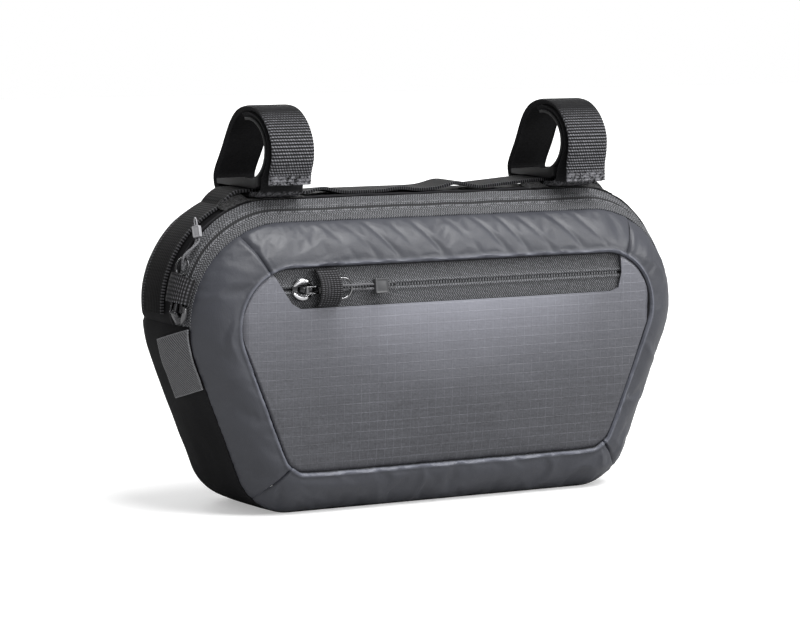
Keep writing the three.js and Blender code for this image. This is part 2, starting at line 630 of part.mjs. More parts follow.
// Slider body with a bridge over its top, its underside on Z = 0
function sliderGeometry() {
  const half = SLIDER_LENGTH / 2;
  const wide = SLIDER_WIDTH / 2;
  const shape = new THREE.Shape();
  shape.moveTo(-half, 0.3 * wide);
  shape.quadraticCurveTo(-0.9 * half, wide, -0.4 * half, wide);
  shape.lineTo(0.5 * half, 0.72 * wide);
  shape.quadraticCurveTo(half, 0.62 * wide, half, 0);
  shape.quadraticCurveTo(half, -0.62 * wide, 0.5 * half, -0.72 * wide);
  shape.lineTo(-0.4 * half, -wide);
  shape.quadraticCurveTo(-0.9 * half, -wide, -half, -0.3 * wide);
  const bevel = 0.2 * SLIDER_HEIGHT;
  const body = new THREE.ExtrudeGeometry(shape, {
    depth: SLIDER_HEIGHT - 2 * bevel,
    bevelThickness: bevel,
    bevelSize: bevel,
    bevelOffset: -bevel,
    bevelSegments: 2,
    curveSegments: 4,
  });
  body.translate(0, 0, bevel);
  const reach = 0.62 * half;
  const arch = new THREE.Shape();
  arch.moveTo(-reach, 0);
  arch.lineTo(-reach, 0.8 * SLIDER_HEIGHT);
  arch.quadraticCurveTo(-reach, 1.5 * SLIDER_HEIGHT, 0, 1.5 * SLIDER_HEIGHT);
  arch.quadraticCurveTo(reach, 1.5 * SLIDER_HEIGHT, reach, 0.8 * SLIDER_HEIGHT);
  arch.lineTo(reach, 0);
  arch.lineTo(0.66 * reach, 0);
  arch.lineTo(0.66 * reach, 1.12 * SLIDER_HEIGHT);
  arch.lineTo(-0.66 * reach, 1.12 * SLIDER_HEIGHT);
  arch.lineTo(-0.66 * reach, 0);
  const width = 0.2 * SLIDER_WIDTH;
  const bridge = new THREE.ExtrudeGeometry(arch, { depth: width, bevelEnabled: false, curveSegments: 4 });
  bridge.translate(0, 0, -width / 2);
  bridge.rotateX(Math.PI / 2);
  bridge.translate(0, 0, SLIDER_HEIGHT - 0.3 * bevel);
  return fromSolid(toSolid(body).add(toSolid(bridge)));
}

// Pull plate, hooked under the bridge, with the wire ring at its far end, its middle on Z = 0
function pullRingGeometry(length, radius) {
  const wide = 0.2 * SLIDER_WIDTH;
  const plate = new THREE.Shape();
  plate.moveTo(-PULL_WIRE, -wide);
  plate.lineTo(length + PULL_WIRE, -wide);
  plate.lineTo(length + PULL_WIRE, wide);
  plate.lineTo(-PULL_WIRE, wide);
  const slot = new THREE.Path();
  slot.moveTo(PULL_WIRE, -0.66 * wide);
  slot.lineTo(PULL_WIRE, 0.66 * wide);
  slot.lineTo(SLIDER_LENGTH / 2 + PULL_WIRE, 0.66 * wide);
  slot.lineTo(SLIDER_LENGTH / 2 + PULL_WIRE, -0.66 * wide);
  plate.holes.push(slot);
  const flat = new THREE.ExtrudeGeometry(plate, { depth: 2 * PULL_WIRE, bevelEnabled: false });
  flat.translate(0, 0, -PULL_WIRE);
  const ring = new THREE.TorusGeometry(radius, PULL_WIRE, 6, 18);
  ring.translate(length + radius, 0, 0);
  return fromSolid(toSolid(flat).add(toSolid(ring)));
}

// Moulded end of a pull, its near face on X = 0, with the cord's tail loop beyond it
function pullEndGeometry() {
  const bevel = 0.12 * PULL_END;
  const square = new THREE.Shape();
  const half = PULL_END / 2 - bevel;
  square.moveTo(-half, -half);
  square.lineTo(half, -half);
  square.lineTo(half, half);
  square.lineTo(-half, half);
  const block = new THREE.ExtrudeGeometry(square, {
    depth: 0.5 * PULL_END - 2 * bevel,
    bevelThickness: bevel,
    bevelSize: bevel,
    bevelSegments: 2,
  });
  block.translate(PULL_END / 2, 0, bevel - 0.25 * PULL_END);
  const tail = new THREE.TorusGeometry(0.38 * PULL_END, PULL_CORD / 2, 6, 14);
  tail.scale(1, 0.45, 1);
  tail.translate(1.32 * PULL_END, 0, 0);
  return fromSolid(toSolid(block).add(toSolid(tail)));
}

// Tube with eight sides along hand-chosen points
function cordGeometry(points, steps) {
  const places = points.map((p) => new THREE.Vector3(...p));
  const curve = new THREE.CatmullRomCurve3(places, false, "centripetal");
  const section = new THREE.Shape();
  for (let i = 0; i < 8; i += 1) {
    const angle = (i * Math.PI) / 4;
    const x = (PULL_CORD / 2) * Math.cos(angle);
    const y = (PULL_CORD / 2) * Math.sin(angle);
    if (i === 0) section.moveTo(x, y);
    else section.lineTo(x, y);
  }
  return new THREE.ExtrudeGeometry(section, { steps, extrudePath: curve, bevelEnabled: false });
}

// Group whose X and Z point the given ways from a place
function frameAt(place, along, outward) {
  const z = outward.clone().normalize();
  const x = along.clone().addScaledVector(z, -along.dot(z)).normalize();
  const y = new THREE.Vector3().crossVectors(z, x);
  const group = new THREE.Group();
  group.setRotationFromMatrix(new THREE.Matrix4().makeBasis(x, y, z));
  group.position.copy(place);
  bag.add(group);
  return group;
}

// Seat of a pull's moulded end, just beyond the middle of the two ends of its cord
function endSeat(points, along, outward) {
  const place = new THREE.Vector3(...points[0]).lerp(new THREE.Vector3(...points.at(-1)), 0.5);
  return frameAt(place.addScaledVector(along, GAP / along.length()), along, outward);
}

// Pocket pull, on the left end of the pocket zip
const pocketSliderX = -WINDOW_LEFT + SLIDER_INSET;
const pocketBase = pocketTapePoint(pocketSliderX, POCKET_TEETH).point;
const pocketSeat = frameAt(
  pocketBase.clone().add(new THREE.Vector3(0, -GAP, 0)),
  new THREE.Vector3(1, 0, 0),
  new THREE.Vector3(0, -1, 0),
);
addMesh("pocket_slider", sliderGeometry(), darkMetal, pocketSeat);
const PLATE_LIFT = SLIDER_HEIGHT + 3 * PULL_WIRE;
function addPullRing(name, length, radius, tilt, seat) {
  const ring = addMesh(name, pullRingGeometry(length, radius), darkMetal, seat);
  ring.position.z = PLATE_LIFT;
  ring.rotation.y = tilt * RAD;
}
addPullRing("pocket_pull_ring", POCKET_PLATE, POCKET_RING, POCKET_TILT, pocketSeat);

// Bands of webbing across a zip that hold its pull down arch over it by this share of their rise
const garageHump = (share) => Math.sin(Math.PI * share) ** 0.5;
const pocketGarageFrom = pocketSliderX + SLIDER_LENGTH / 2 + GAP;
const pocketGarage = wall(
  [pocketGarageFrom, pocketGarageFrom + GARAGE_WIDTH],
  spread(WINDOW_LOW + GAP, POCKET_TOP - GAP, 10),
  LABEL,
  (x, z) => {
    const share = (z - WINDOW_LOW) / (POCKET_TOP - WINDOW_LOW);
    const { point, inward } = pocketTapePoint(x, z);
    return { point: point.addScaledVector(inward, -GAP - LABEL - GARAGE_RISE * garageHump(share)), inward };
  },
);
addMesh("pocket_garage", pocketGarage, webbingCloth);

// Cord routes, each point chosen by hand, from the end's near face through the ring and back
const POCKET_CORD = [
  [-44.0, -41.0, 103.1],
  [-46.8, -41.1, 103.2],
  [-49.6, -41.5, 103.3],
  [-52.6, -42.0, 103.3],
  [-55.4, -42.3, 103.3],
  [-58.0, -41.9, 103.3],
  [-60.2, -41.2, 103.2],
  [-61.4, -40.6, 102.8],
  [-61.8, -40.4, 102.2],
  [-61.4, -40.1, 101.5],
  [-60.2, -39.6, 101.1],
  [-58.0, -39.3, 101.0],
  [-55.4, -39.2, 101.0],
  [-52.6, -39.5, 101.0],
  [-49.6, -40.2, 101.0],
  [-46.8, -40.8, 101.1],
  [-44.0, -41.0, 101.1],
];
addMesh("pocket_pull_cord", cordGeometry(POCKET_CORD, CORD_STEPS), cordCloth);
const pocketEndSeat = endSeat(POCKET_CORD, new THREE.Vector3(1, 0, 0.01), new THREE.Vector3(0, -1, 0));
addMesh("pocket_pull_end", pullEndGeometry(), mouldedEnd, pocketEndSeat);

// Main pull, on the left end of the main zip
const MAIN_SLIDER_U = -AT_SIDE + SLIDER_LENGTH / 2 + 2 * GAP;
const mainPlace = bodyPoint(MAIN_SLIDER_U, ZIP_MIDDLE, 2 * GAP);
const mainAlong = bodyPoint(MAIN_SLIDER_U + SLIDER_LENGTH / 2, ZIP_MIDDLE).sub(
  bodyPoint(MAIN_SLIDER_U - SLIDER_LENGTH / 2, ZIP_MIDDLE),
);
const mainAcross = bodyPoint(MAIN_SLIDER_U, ZIP_DEPTH).sub(bodyPoint(MAIN_SLIDER_U, 0));
const mainSeat = frameAt(mainPlace, mainAlong, new THREE.Vector3().crossVectors(mainAlong, mainAcross));
addMesh("main_slider", sliderGeometry(), darkMetal, mainSeat);
addPullRing("main_pull_ring", MAIN_PLATE, MAIN_RING, MAIN_TILT, mainSeat);

const MAIN_CORD = [
  [-119.1, -16.7, 124.8],
  [-119.7, -17.5, 123.3],
  [-121.6, -18.6, 121.9],
  [-124.2, -19.6, 120.4],
  [-127.0, -20.4, 118.8],
  [-129.0, -20.7, 116.7],
  [-129.2, -20.5, 114.3],
  [-129.3, -20.3, 112.0],
  [-128.9, -19.5, 110.9],
  [-128.0, -18.8, 111.6],
  [-127.1, -18.5, 113.7],
  [-126.4, -18.4, 115.9],
  [-124.8, -18.0, 118.1],
  [-122.9, -17.3, 120.2],
  [-121.0, -16.5, 121.9],
  [-120.4, -16.2, 122.9],
  [-119.9, -15.5, 124.4],
];
addMesh("main_pull_cord", cordGeometry(MAIN_CORD, CORD_STEPS), cordCloth);
const mainEndSeat = endSeat(
  MAIN_CORD,
  new THREE.Vector3(0.26, 0.45, 0.86),
  new THREE.Vector3(-1, -0.6, 0.2),
);
addMesh("main_pull_end", pullEndGeometry(), mouldedEnd, mainEndSeat);

const mainGarageFrom = MAIN_SLIDER_U + SLIDER_LENGTH / 2 - GARAGE_LAP;
const mainGarage = wall(
  spread(mainGarageFrom, mainGarageFrom + GARAGE_WIDTH, 3),
  spread(-GAP, ZIP_DEPTH + GAP, 10),
  LABEL,
  (u, t) => {
    const rise = GARAGE_RISE * garageHump(clamp(t / ZIP_DEPTH, 0, 1));
    return { point: bodyPoint(u, clamp(t, GAP, ZIP_DEPTH), GAP + LABEL + rise), inward: radial(u) };
  },
);
addMesh("main_garage", mainGarage, webbingCloth);

// Side label, sewn into the front seam just under the cross seam
const labelDrop = 0.25 * LABEL_WIDTH;
const label = wall(spread(0, 1, 5), spread(0, 1, 4), LABEL, (down, back) => {
  const u = -AT_SIDE - 2 * GAP - down * LABEL_HEIGHT - back * labelDrop;
  const t = GAP + back * LABEL_WIDTH;
  return { point: bodyPoint(u, t, GAP + LABEL + LABEL * back), inward: radial(u) };
});
addMesh("side_label", label, labelCloth);

export default bag;
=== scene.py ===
"""Looks of a bicycle handlebar bag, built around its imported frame."""

import functools
import json
import math

import bpy
from mathutils import Matrix, Vector, noise

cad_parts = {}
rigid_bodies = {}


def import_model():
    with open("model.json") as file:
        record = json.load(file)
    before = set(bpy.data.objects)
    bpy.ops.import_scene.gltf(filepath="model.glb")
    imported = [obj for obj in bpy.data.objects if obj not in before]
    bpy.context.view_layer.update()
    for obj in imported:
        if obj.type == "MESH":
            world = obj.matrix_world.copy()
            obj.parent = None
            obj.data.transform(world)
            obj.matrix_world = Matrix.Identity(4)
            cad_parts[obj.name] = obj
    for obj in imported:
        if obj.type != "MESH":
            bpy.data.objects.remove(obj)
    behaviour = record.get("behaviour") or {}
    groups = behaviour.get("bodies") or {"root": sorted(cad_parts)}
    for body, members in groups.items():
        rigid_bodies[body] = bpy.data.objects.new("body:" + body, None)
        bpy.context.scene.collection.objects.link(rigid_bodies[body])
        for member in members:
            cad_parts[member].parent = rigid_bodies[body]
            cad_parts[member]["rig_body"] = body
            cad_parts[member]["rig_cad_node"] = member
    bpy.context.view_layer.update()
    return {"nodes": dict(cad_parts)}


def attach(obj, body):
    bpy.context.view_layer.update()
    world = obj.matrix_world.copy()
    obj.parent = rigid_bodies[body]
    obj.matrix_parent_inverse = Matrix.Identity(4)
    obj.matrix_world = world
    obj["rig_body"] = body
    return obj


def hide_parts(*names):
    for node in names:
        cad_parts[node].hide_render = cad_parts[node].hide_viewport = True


bl_info = {
    "name": "Handlebar Bag",
    "version": (1, 0, 0),
    "blender": (4, 5, 0),
    "location": "3D View > Sidebar > Bag",
    "description": "Padded handlebar bag with two zips, webbing and hook-and-loop straps",
    "category": "Object",
}

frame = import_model()

# Driving dimensions of the front seam, in metres
TOP_HALF = 0.083
SHOULDER_RADIUS = 0.045
BASE_RADIUS = 0.028
TAPER = math.radians(22)
SEAM_HEIGHT = 0.131

# Body
BODY_DEPTH = 0.051
CLOTH = 0.0015
GAP = 0.0003
SIDE_PUFF = 0.002
BACK_PUFF = 0.0022
REAR_ROUND = 0.009
REAR_DROP = 0.0045
FRONT_Y = -BODY_DEPTH / 2

# Front border and pocket
BORDER_WIDTH = 0.02
BORDER_RISE = 0.0122
BORDER_PUFF = 0.0034
CORNER_FULL = 0.0013
POCKET_PUFF = 0.0032
WINDOW_HEIGHT = 0.0175
WINDOW_LEFT_INSET = 0.02
WINDOW_RIGHT_INSET = 0.0165
WINDOW_SLANT = 0.0055
WINDOW_CORNER = 0.0025
TEETH_DROP = 0.009
TAPE_LAP = 0.002
MEET = 0.00002

# Main zip, webbing and straps
ZIP_DEPTH = 0.012
ZIP_RISE = 0.009
PIPING = 0.0009
WEBBING_WIDTH = 0.019
WEBBING_DEPTH = 0.029
WEBBING = 0.0014
WEBBING_STEP = 0.0032
WEBBING_END = 0.004
WEBBING_RIB = 0.0012
BAR_DEPTH = 0.0294
BAR_HEIGHT = 0.0256
BAR_Y = -0.0058
BAR_CLEAR = 0.0094
STRAP_PLACE = 0.0785
STRAP_WIDTH = 0.0214
STRAP = 0.0022
SLEEVE = 0.0014
BAR_Z = SEAM_HEIGHT + ZIP_RISE + BAR_CLEAR + BAR_HEIGHT / 2

# Stations along the front seam, as lengths from the middle of the top
SHOULDER_Z = SEAM_HEIGHT - SHOULDER_RADIUS
SHOULDER_END_X = TOP_HALF + SHOULDER_RADIUS * math.cos(TAPER)
SHOULDER_END_Z = SHOULDER_Z - SHOULDER_RADIUS * math.sin(TAPER)
BASE_X = SHOULDER_END_X - (
    BASE_RADIUS + (SHOULDER_END_Z - BASE_RADIUS) * math.sin(TAPER)
) / math.cos(TAPER)
TAPER_LENGTH = (SHOULDER_END_Z - BASE_RADIUS + BASE_RADIUS * math.sin(TAPER)) / math.cos(TAPER)
AT_SIDE = TOP_HALF + SHOULDER_RADIUS * math.pi / 2
AT_TAPER = AT_SIDE + SHOULDER_RADIUS * TAPER
AT_BASE_CORNER = AT_TAPER + TAPER_LENGTH
AT_BASE = AT_BASE_CORNER + BASE_RADIUS * (math.pi / 2 - TAPER)
AT_MIDDLE = AT_BASE + BASE_X

POCKET_HALF = TOP_HALF + SHOULDER_RADIUS - BORDER_WIDTH
POCKET_TOP = SEAM_HEIGHT - BORDER_WIDTH
POCKET_TEETH = POCKET_TOP - TEETH_DROP
WINDOW_LOW = POCKET_TOP - WINDOW_HEIGHT
WINDOW_LEFT = POCKET_HALF - WINDOW_LEFT_INSET
WINDOW_RIGHT = POCKET_HALF - WINDOW_RIGHT_INSET
POCKET_Y = FRONT_Y - BORDER_RISE

# Thickness of the panels and of the zip tapes
PANEL = 0.0012
TAPE_CLOTH = 0.0008

# Pitches of the ripstop's grid and of the zip tape's herringbone
RIPSTOP_GRID = 0.0043
CHEVRON = 0.0021

# Place of the folded edge on black cloth that has none
NO_FOLD = -1.0

# Camera: place, its right, up and back directions, and lens on a sensor 36 mm wide
CAMERA_PLACE = Vector((-0.7932, -1.3183, 0.2673))
CAMERA_RIGHT = Vector((0.85911597, -0.51166222, 0.01102402))
CAMERA_UP = Vector((0.05067965, 0.10648976, 0.9930214))
CAMERA_BACK = Vector((-0.50926548, -0.85256185, 0.11741792))
LENS = 150.23
SENSOR = 36

# Pull cords: diameter, and routes from the moulded end through the ring and back, in metres
PULL_CORD = 0.0011
POCKET_CORD = [
    (-0.0440, -0.0410, 0.1031),
    (-0.0468, -0.0411, 0.1032),
    (-0.0496, -0.0415, 0.1033),
    (-0.0526, -0.0420, 0.1033),
    (-0.0554, -0.0423, 0.1033),
    (-0.0580, -0.0419, 0.1033),
    (-0.0602, -0.0412, 0.1032),
    (-0.0614, -0.0406, 0.1028),
    (-0.0618, -0.0404, 0.1022),
    (-0.0614, -0.0401, 0.1015),
    (-0.0602, -0.0396, 0.1011),
    (-0.0580, -0.0393, 0.1010),
    (-0.0554, -0.0392, 0.1010),
    (-0.0526, -0.0395, 0.1010),
    (-0.0496, -0.0402, 0.1010),
    (-0.0468, -0.0408, 0.1011),
    (-0.0440, -0.0410, 0.1011),
]
MAIN_CORD = [
    (-0.1191, -0.0167, 0.1248),
    (-0.1197, -0.0175, 0.1233),
    (-0.1216, -0.0186, 0.1219),
    (-0.1242, -0.0196, 0.1204),
    (-0.1270, -0.0204, 0.1188),
    (-0.1290, -0.0207, 0.1167),
    (-0.1292, -0.0205, 0.1143),
    (-0.1293, -0.0203, 0.1120),
    (-0.1289, -0.0195, 0.1109),
    (-0.1280, -0.0188, 0.1116),
    (-0.1271, -0.0185, 0.1137),
    (-0.1264, -0.0184, 0.1159),
    (-0.1248, -0.0180, 0.1181),
    (-0.1229, -0.0173, 0.1202),
    (-0.1210, -0.0165, 0.1219),
    (-0.1204, -0.0162, 0.1229),
    (-0.1199, -0.0155, 0.1244),
]


def clamp(value, low=0.0, high=1.0):
    return max(low, min(high, value))


def lerp(a, b, share):
    return a + (b - a) * share


def hump(distance, width):
    return math.exp(-((distance / width) ** 2))


def two_noises(first, share, second):
    """Smooth noise at one place, and a share of the noise at another."""
    return noise.noise(Vector(first)) + share * noise.noise(Vector(second))


def spread(start, end, steps):
    return [lerp(start, end, i / steps) for i in range(steps + 1)]


def even(start, end, step):
    """Values from start to end at about that step."""
    return spread(start, end, max(1, round((end - start) / step)))


def search(low, high, holds):
    """Last value from low towards high for which holds(value) is still true."""
    for _ in range(40):
        middle = (low + high) / 2
        if holds(middle):
            low = middle
        else:
            high = middle
    return low


def direction(line, k):
    """Direction of a line of points at its point k."""
    return (line[min(k + 1, len(line) - 1)] - line[max(k - 1, 0)]).normalized()


# Shapes that the pieces share with the frame


def outline(u, out):
    """Point of the front seam at station u, moved out, with its outward normal: x, z, nx, nz."""
    station = u - 2 * AT_MIDDLE if u > AT_MIDDLE else u
    side = -1 if station < 0 else 1
    s = abs(station)
    if s <= TOP_HALF:
        x, z, angle = s, SEAM_HEIGHT + out, math.pi / 2
    elif s <= AT_TAPER:
        angle = math.pi / 2 - (s - TOP_HALF) / SHOULDER_RADIUS
        x = TOP_HALF + (SHOULDER_RADIUS + out) * math.cos(angle)
        z = SHOULDER_Z + (SHOULDER_RADIUS + out) * math.sin(angle)
    elif s <= AT_BASE_CORNER:
        angle = -TAPER
        x = SHOULDER_END_X - (s - AT_TAPER) * math.sin(TAPER) + out * math.cos(TAPER)
        z = SHOULDER_END_Z - (s - AT_TAPER) * math.cos(TAPER) - out * math.sin(TAPER)
    elif s <= AT_BASE:
        angle = -TAPER - (s - AT_BASE_CORNER) / BASE_RADIUS
        radius = max(BASE_RADIUS + out, GAP)
        x = BASE_X + radius * math.cos(angle)
        z = BASE_RADIUS + radius * math.sin(angle)
    else:
        angle = -math.pi / 2
        x = BASE_X - (s - AT_BASE)
        z = min(-out, BASE_RADIUS - GAP)
    return side * x, z, side * math.cos(angle), math.sin(angle)


def seam_distance(u):
    return abs(u - 2 * AT_MIDDLE if u > AT_MIDDLE else u)


def shoulder_share(u):
    return math.cos(clamp((seam_distance(u) - TOP_HALF) / SHOULDER_RADIUS, 0, math.pi / 2))


def side_share(u):
    fade = clamp((AT_BASE - seam_distance(u)) / (AT_BASE - AT_BASE_CORNER))
    return (1 - shoulder_share(u)) * fade * fade * (3 - 2 * fade)


def body_out(u, t):
    """How far the body stands out from the front seam at depth t behind it."""
    rise = ZIP_RISE * shoulder_share(u) * clamp(t / ZIP_DEPTH)
    puff = SIDE_PUFF * side_share(u) * math.sin(math.pi * clamp(t, 0, BODY_DEPTH) / BODY_DEPTH)
    turn = clamp((t - BODY_DEPTH + REAR_ROUND) / REAR_ROUND, 0, 0.95)
    return rise + puff - REAR_DROP * (1 - math.sqrt(1 - turn * turn))


def body_point(u, t, height=0.0):
    x, z, _, _ = outline(u, body_out(u, t) + height)
    return Vector((x, FRONT_Y + t, z))


def swell(x, z, half_width, low, high):
    across = clamp(1 - (x / half_width) ** 2)
    up = clamp(4 * (z - low) * (high - z) / (high - low) ** 2)
    return math.sqrt(across * up)


def pocket_swell(x, z):
    return POCKET_PUFF * swell(x, z, POCKET_HALF, BORDER_WIDTH, POCKET_TOP)


# Modelling helpers


def deselect():
    bpy.ops.object.select_all(action="DESELECT")


def activate(piece):
    deselect()
    piece.select_set(True)
    bpy.context.view_layer.objects.active = piece


def modify(piece, kind, **settings):
    """Adds a modifier with these settings and applies it."""
    activate(piece)
    modifier = piece.modifiers.new(kind.title(), kind)
    for key, value in settings.items():
        setattr(modifier, key, value)
    bpy.ops.object.modifier_apply(modifier=modifier.name)


def smooth(piece, degrees=50):
    activate(piece)
    bpy.ops.object.shade_smooth_by_angle(angle=math.radians(degrees))


def cloth(name, columns, rows, surface, inside=(0, 0, 0.065)):
    """Sheet from a flat grid: surface(u, v) gives each point, and the UV map keeps u and v.

    Its normals face away from the point `inside`.
    """
    deselect()
    wide, high = len(columns) - 1, len(rows) - 1
    bpy.ops.mesh.primitive_grid_add(x_subdivisions=wide, y_subdivisions=high, size=2)
    piece = bpy.context.object
    piece.name = name
    mesh = piece.data
    mesh.name = name
    marks = []
    for vertex in mesh.vertices:
        i = round((vertex.co.x + 1) / 2 * wide)
        j = round((vertex.co.y + 1) / 2 * high)
        marks.append((columns[i], rows[j]))
    for vertex, mark in zip(mesh.vertices, marks):
        vertex.co = surface(*mark)
    layer = mesh.uv_layers.active or mesh.uv_layers.new(name="UVMap")
    for loop in mesh.loops:
        layer.data[loop.index].uv = marks[loop.vertex_index]
    mesh.update()
    centre = Vector(inside)
    if sum(face.area * face.normal.dot(face.center - centre) for face in mesh.polygons) < 0:
        mesh.flip_normals()
    return piece


def map_flat(piece):
    """Maps a panel as it is seen from the front: U is x and V is z."""
    layer = piece.data.uv_layers.active
    for loop in piece.data.loops:
        place = piece.data.vertices[loop.vertex_index].co
        layer.data[loop.index].uv = (place.x, place.z)


def box(place, size):
    deselect()
    bpy.ops.mesh.primitive_cube_add(size=1, location=place, scale=size)
    bpy.ops.object.transform_apply(location=True, rotation=True, scale=True)
    return bpy.context.object


def ball(segments, rings, place):
    """Ball of radius 1 whose points x, y, z are then moved to place(x, y, z)."""
    deselect()
    bpy.ops.mesh.primitive_uv_sphere_add(segments=segments, ring_count=rings, radius=1)
    return reshape(bpy.context.object, place)


def torus(segments, around, radius, thickness, **placed):
    deselect()
    bpy.ops.mesh.primitive_torus_add(
        major_segments=segments, minor_segments=around, major_radius=radius, minor_radius=thickness, **placed
    )
    bpy.ops.object.transform_apply(location=True, rotation=True, scale=True)
    return bpy.context.object


def reshape(piece, place):
    for vertex in piece.data.vertices:
        vertex.co = place(*vertex.co)
    return piece


def loosen(piece, growth, pressure, stiffness, limit, frames=24):
    """Lets a padded panel's cloth, cut a little too large, settle between its sewn edges.

    No point moves more than `limit`, and the result stays in the mesh.
    """
    mesh = piece.data
    uses = {}
    for face in mesh.polygons:
        for key in face.edge_keys:
            uses[key] = uses.get(key, 0) + 1
    sewn = sorted({vertex for key, count in uses.items() if count == 1 for vertex in key})
    group = piece.vertex_groups.new(name="sewn")
    group.add(sewn, 1.0, "REPLACE")
    start = [vertex.co.copy() for vertex in mesh.vertices]
    activate(piece)
    modifier = piece.modifiers.new("Cloth", "CLOTH")
    cloth_settings = modifier.settings
    cloth_settings.quality = 5
    cloth_settings.mass = 0.2
    cloth_settings.tension_stiffness = 15
    cloth_settings.compression_stiffness = 15
    cloth_settings.shear_stiffness = 5
    cloth_settings.bending_stiffness = stiffness
    cloth_settings.vertex_group_mass = "sewn"
    cloth_settings.use_pressure = True
    cloth_settings.uniform_pressure_force = pressure
    cloth_settings.shrink_min = -growth
    cloth_settings.effector_weights.gravity = 0
    modifier.point_cache.frame_start = 1
    modifier.point_cache.frame_end = frames
    for number in range(1, frames + 1):
        bpy.context.scene.frame_set(number)
    bpy.ops.object.modifier_apply(modifier=modifier.name)
    bpy.context.scene.frame_set(1)
    piece.vertex_groups.clear()
    for vertex, place in zip(piece.data.vertices, start):
        moved = vertex.co - place
        if moved.length > limit:
            vertex.co = place + moved * (limit / moved.length)


def settle(piece, material, slot, *nodes):
    """Finishes a piece: its material, the nodes that it stands for, and its body; the slot argument is not
    used.
    """
    piece.data.materials.clear()
    piece.data.materials.append(material)
    if nodes:
        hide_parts(*nodes)
    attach(piece, "root")


def sew(piece, thickness, material, slot, *nodes, angle=50):
    """Gives a sheet its thickness, and finishes it."""
    modify(piece, "SOLIDIFY", thickness=thickness, offset=-1.0, use_rim=True)
    smooth(piece, angle)
    settle(piece, material, slot, *nodes)


def mark_tube(piece, line, marks):
    """Maps a tube: U is the length along its line in metres, and V the turn round it."""
    mesh = piece.data
    layer = mesh.uv_layers.active or mesh.uv_layers.new(name="UVMap")
    found = []
    for vertex in mesh.vertices:
        k = min(range(len(line)), key=lambda i: (vertex.co - line[i]).length_squared)
        along = direction(line, k)
        side = along.cross(Vector((0.3, 0.2, 1))).normalized()
        off = vertex.co - line[k]
        found.append((marks[k], math.atan2(off.dot(along.cross(side)), off.dot(side)) / math.tau))
    for loop in mesh.loops:
        layer.data[loop.index].uv = found[loop.vertex_index]


def join(pieces, name):
    deselect()
    for piece in pieces:
        piece.select_set(True)
    bpy.context.view_layer.objects.active = pieces[0]
    bpy.ops.object.join()
    pieces[0].name = name
    pieces[0].data.name = name
    return pieces[0]


def curve_point(p0, p1, p2, p3, share):
    """Point between p1 and p2 on the centripetal curve through all four."""
    knots = [0.0]
    for a, b in ((p0, p1), (p1, p2), (p2, p3)):
        knots.append(knots[-1] + max((b - a).length, 1e-6) ** 0.5)
    t = lerp(knots[1], knots[2], share)

    def between(a, b, low, high):
        return a.lerp(b, (t - low) / (high - low))

    a1 = between(p0, p1, knots[0], knots[1])
    a2 = between(p1, p2, knots[1], knots[2])
    a3 = between(p2, p3, knots[2], knots[3])
    b1 = between(a1, a2, knots[0], knots[2])
    b2 = between(a2, a3, knots[1], knots[3])
    return between(b1, b2, knots[1], knots[2])


def smooth_line(points, step, inner_steps=12):
    """Points at even steps along a smooth curve through the given ones."""
    points = [Vector(p) for p in points]
    ends = [2 * points[0] - points[1], *points, 2 * points[-1] - points[-2]]
    dense = []
    for four in zip(ends, ends[1:], ends[2:], ends[3:]):
        dense += [curve_point(*four, k / inner_steps) for k in range(inner_steps)]
    dense.append(points[-1])
    lengths = [0.0]
    for a, b in zip(dense, dense[1:]):
        lengths.append(lengths[-1] + (b - a).length)
    marks = even(0, lengths[-1], step)
    line, k = [], 0
    for mark in marks:
        while k < len(lengths) - 2 and lengths[k + 1] < mark:
            k += 1
        share = (mark - lengths[k]) / max(lengths[k + 1] - lengths[k], 1e-9)
        line.append(dense[k].lerp(dense[k + 1], clamp(share)))
    return line, marks


# Materials


SOCKETS = {
    "metallic": "Metallic",
    "specular": "Specular IOR Level",
    "sheen": "Sheen Weight",
}


class Value:
    """A number that a shader works out, with the usual signs of arithmetic."""

    def __init__(self, finish, socket):
        self.finish = finish
        self.socket = socket

    def __add__(self, other):
        return self.finish.maths("ADD", self, other)

    def __sub__(self, other):
        return self.finish.maths("SUBTRACT", self, other)

    def __rsub__(self, other):
        return self.finish.maths("SUBTRACT", other, self)

    def __mul__(self, other):
        return self.finish.maths("MULTIPLY", self, other)

    def __truediv__(self, other):
        return self.finish.maths("DIVIDE", self, other)

    def __pow__(self, power):
        return self.finish.maths("POWER", self, power)

    def __abs__(self):
        return self.finish.maths("ABSOLUTE", self)

    def larger(self, other):
        return self.finish.maths("MAXIMUM", self, other)

    def smaller(self, other):
        return self.finish.maths("MINIMUM", self, other)

    def ramp(self, start, end, low, high):
        """Straight ramp from low at start to high at end, held beyond them."""
        ends = {"Value": self, "From Min": start, "From Max": end, "To Min": low, "To Max": high}
        return Value(self.finish, self.finish.node("MapRange", ends).outputs[0])


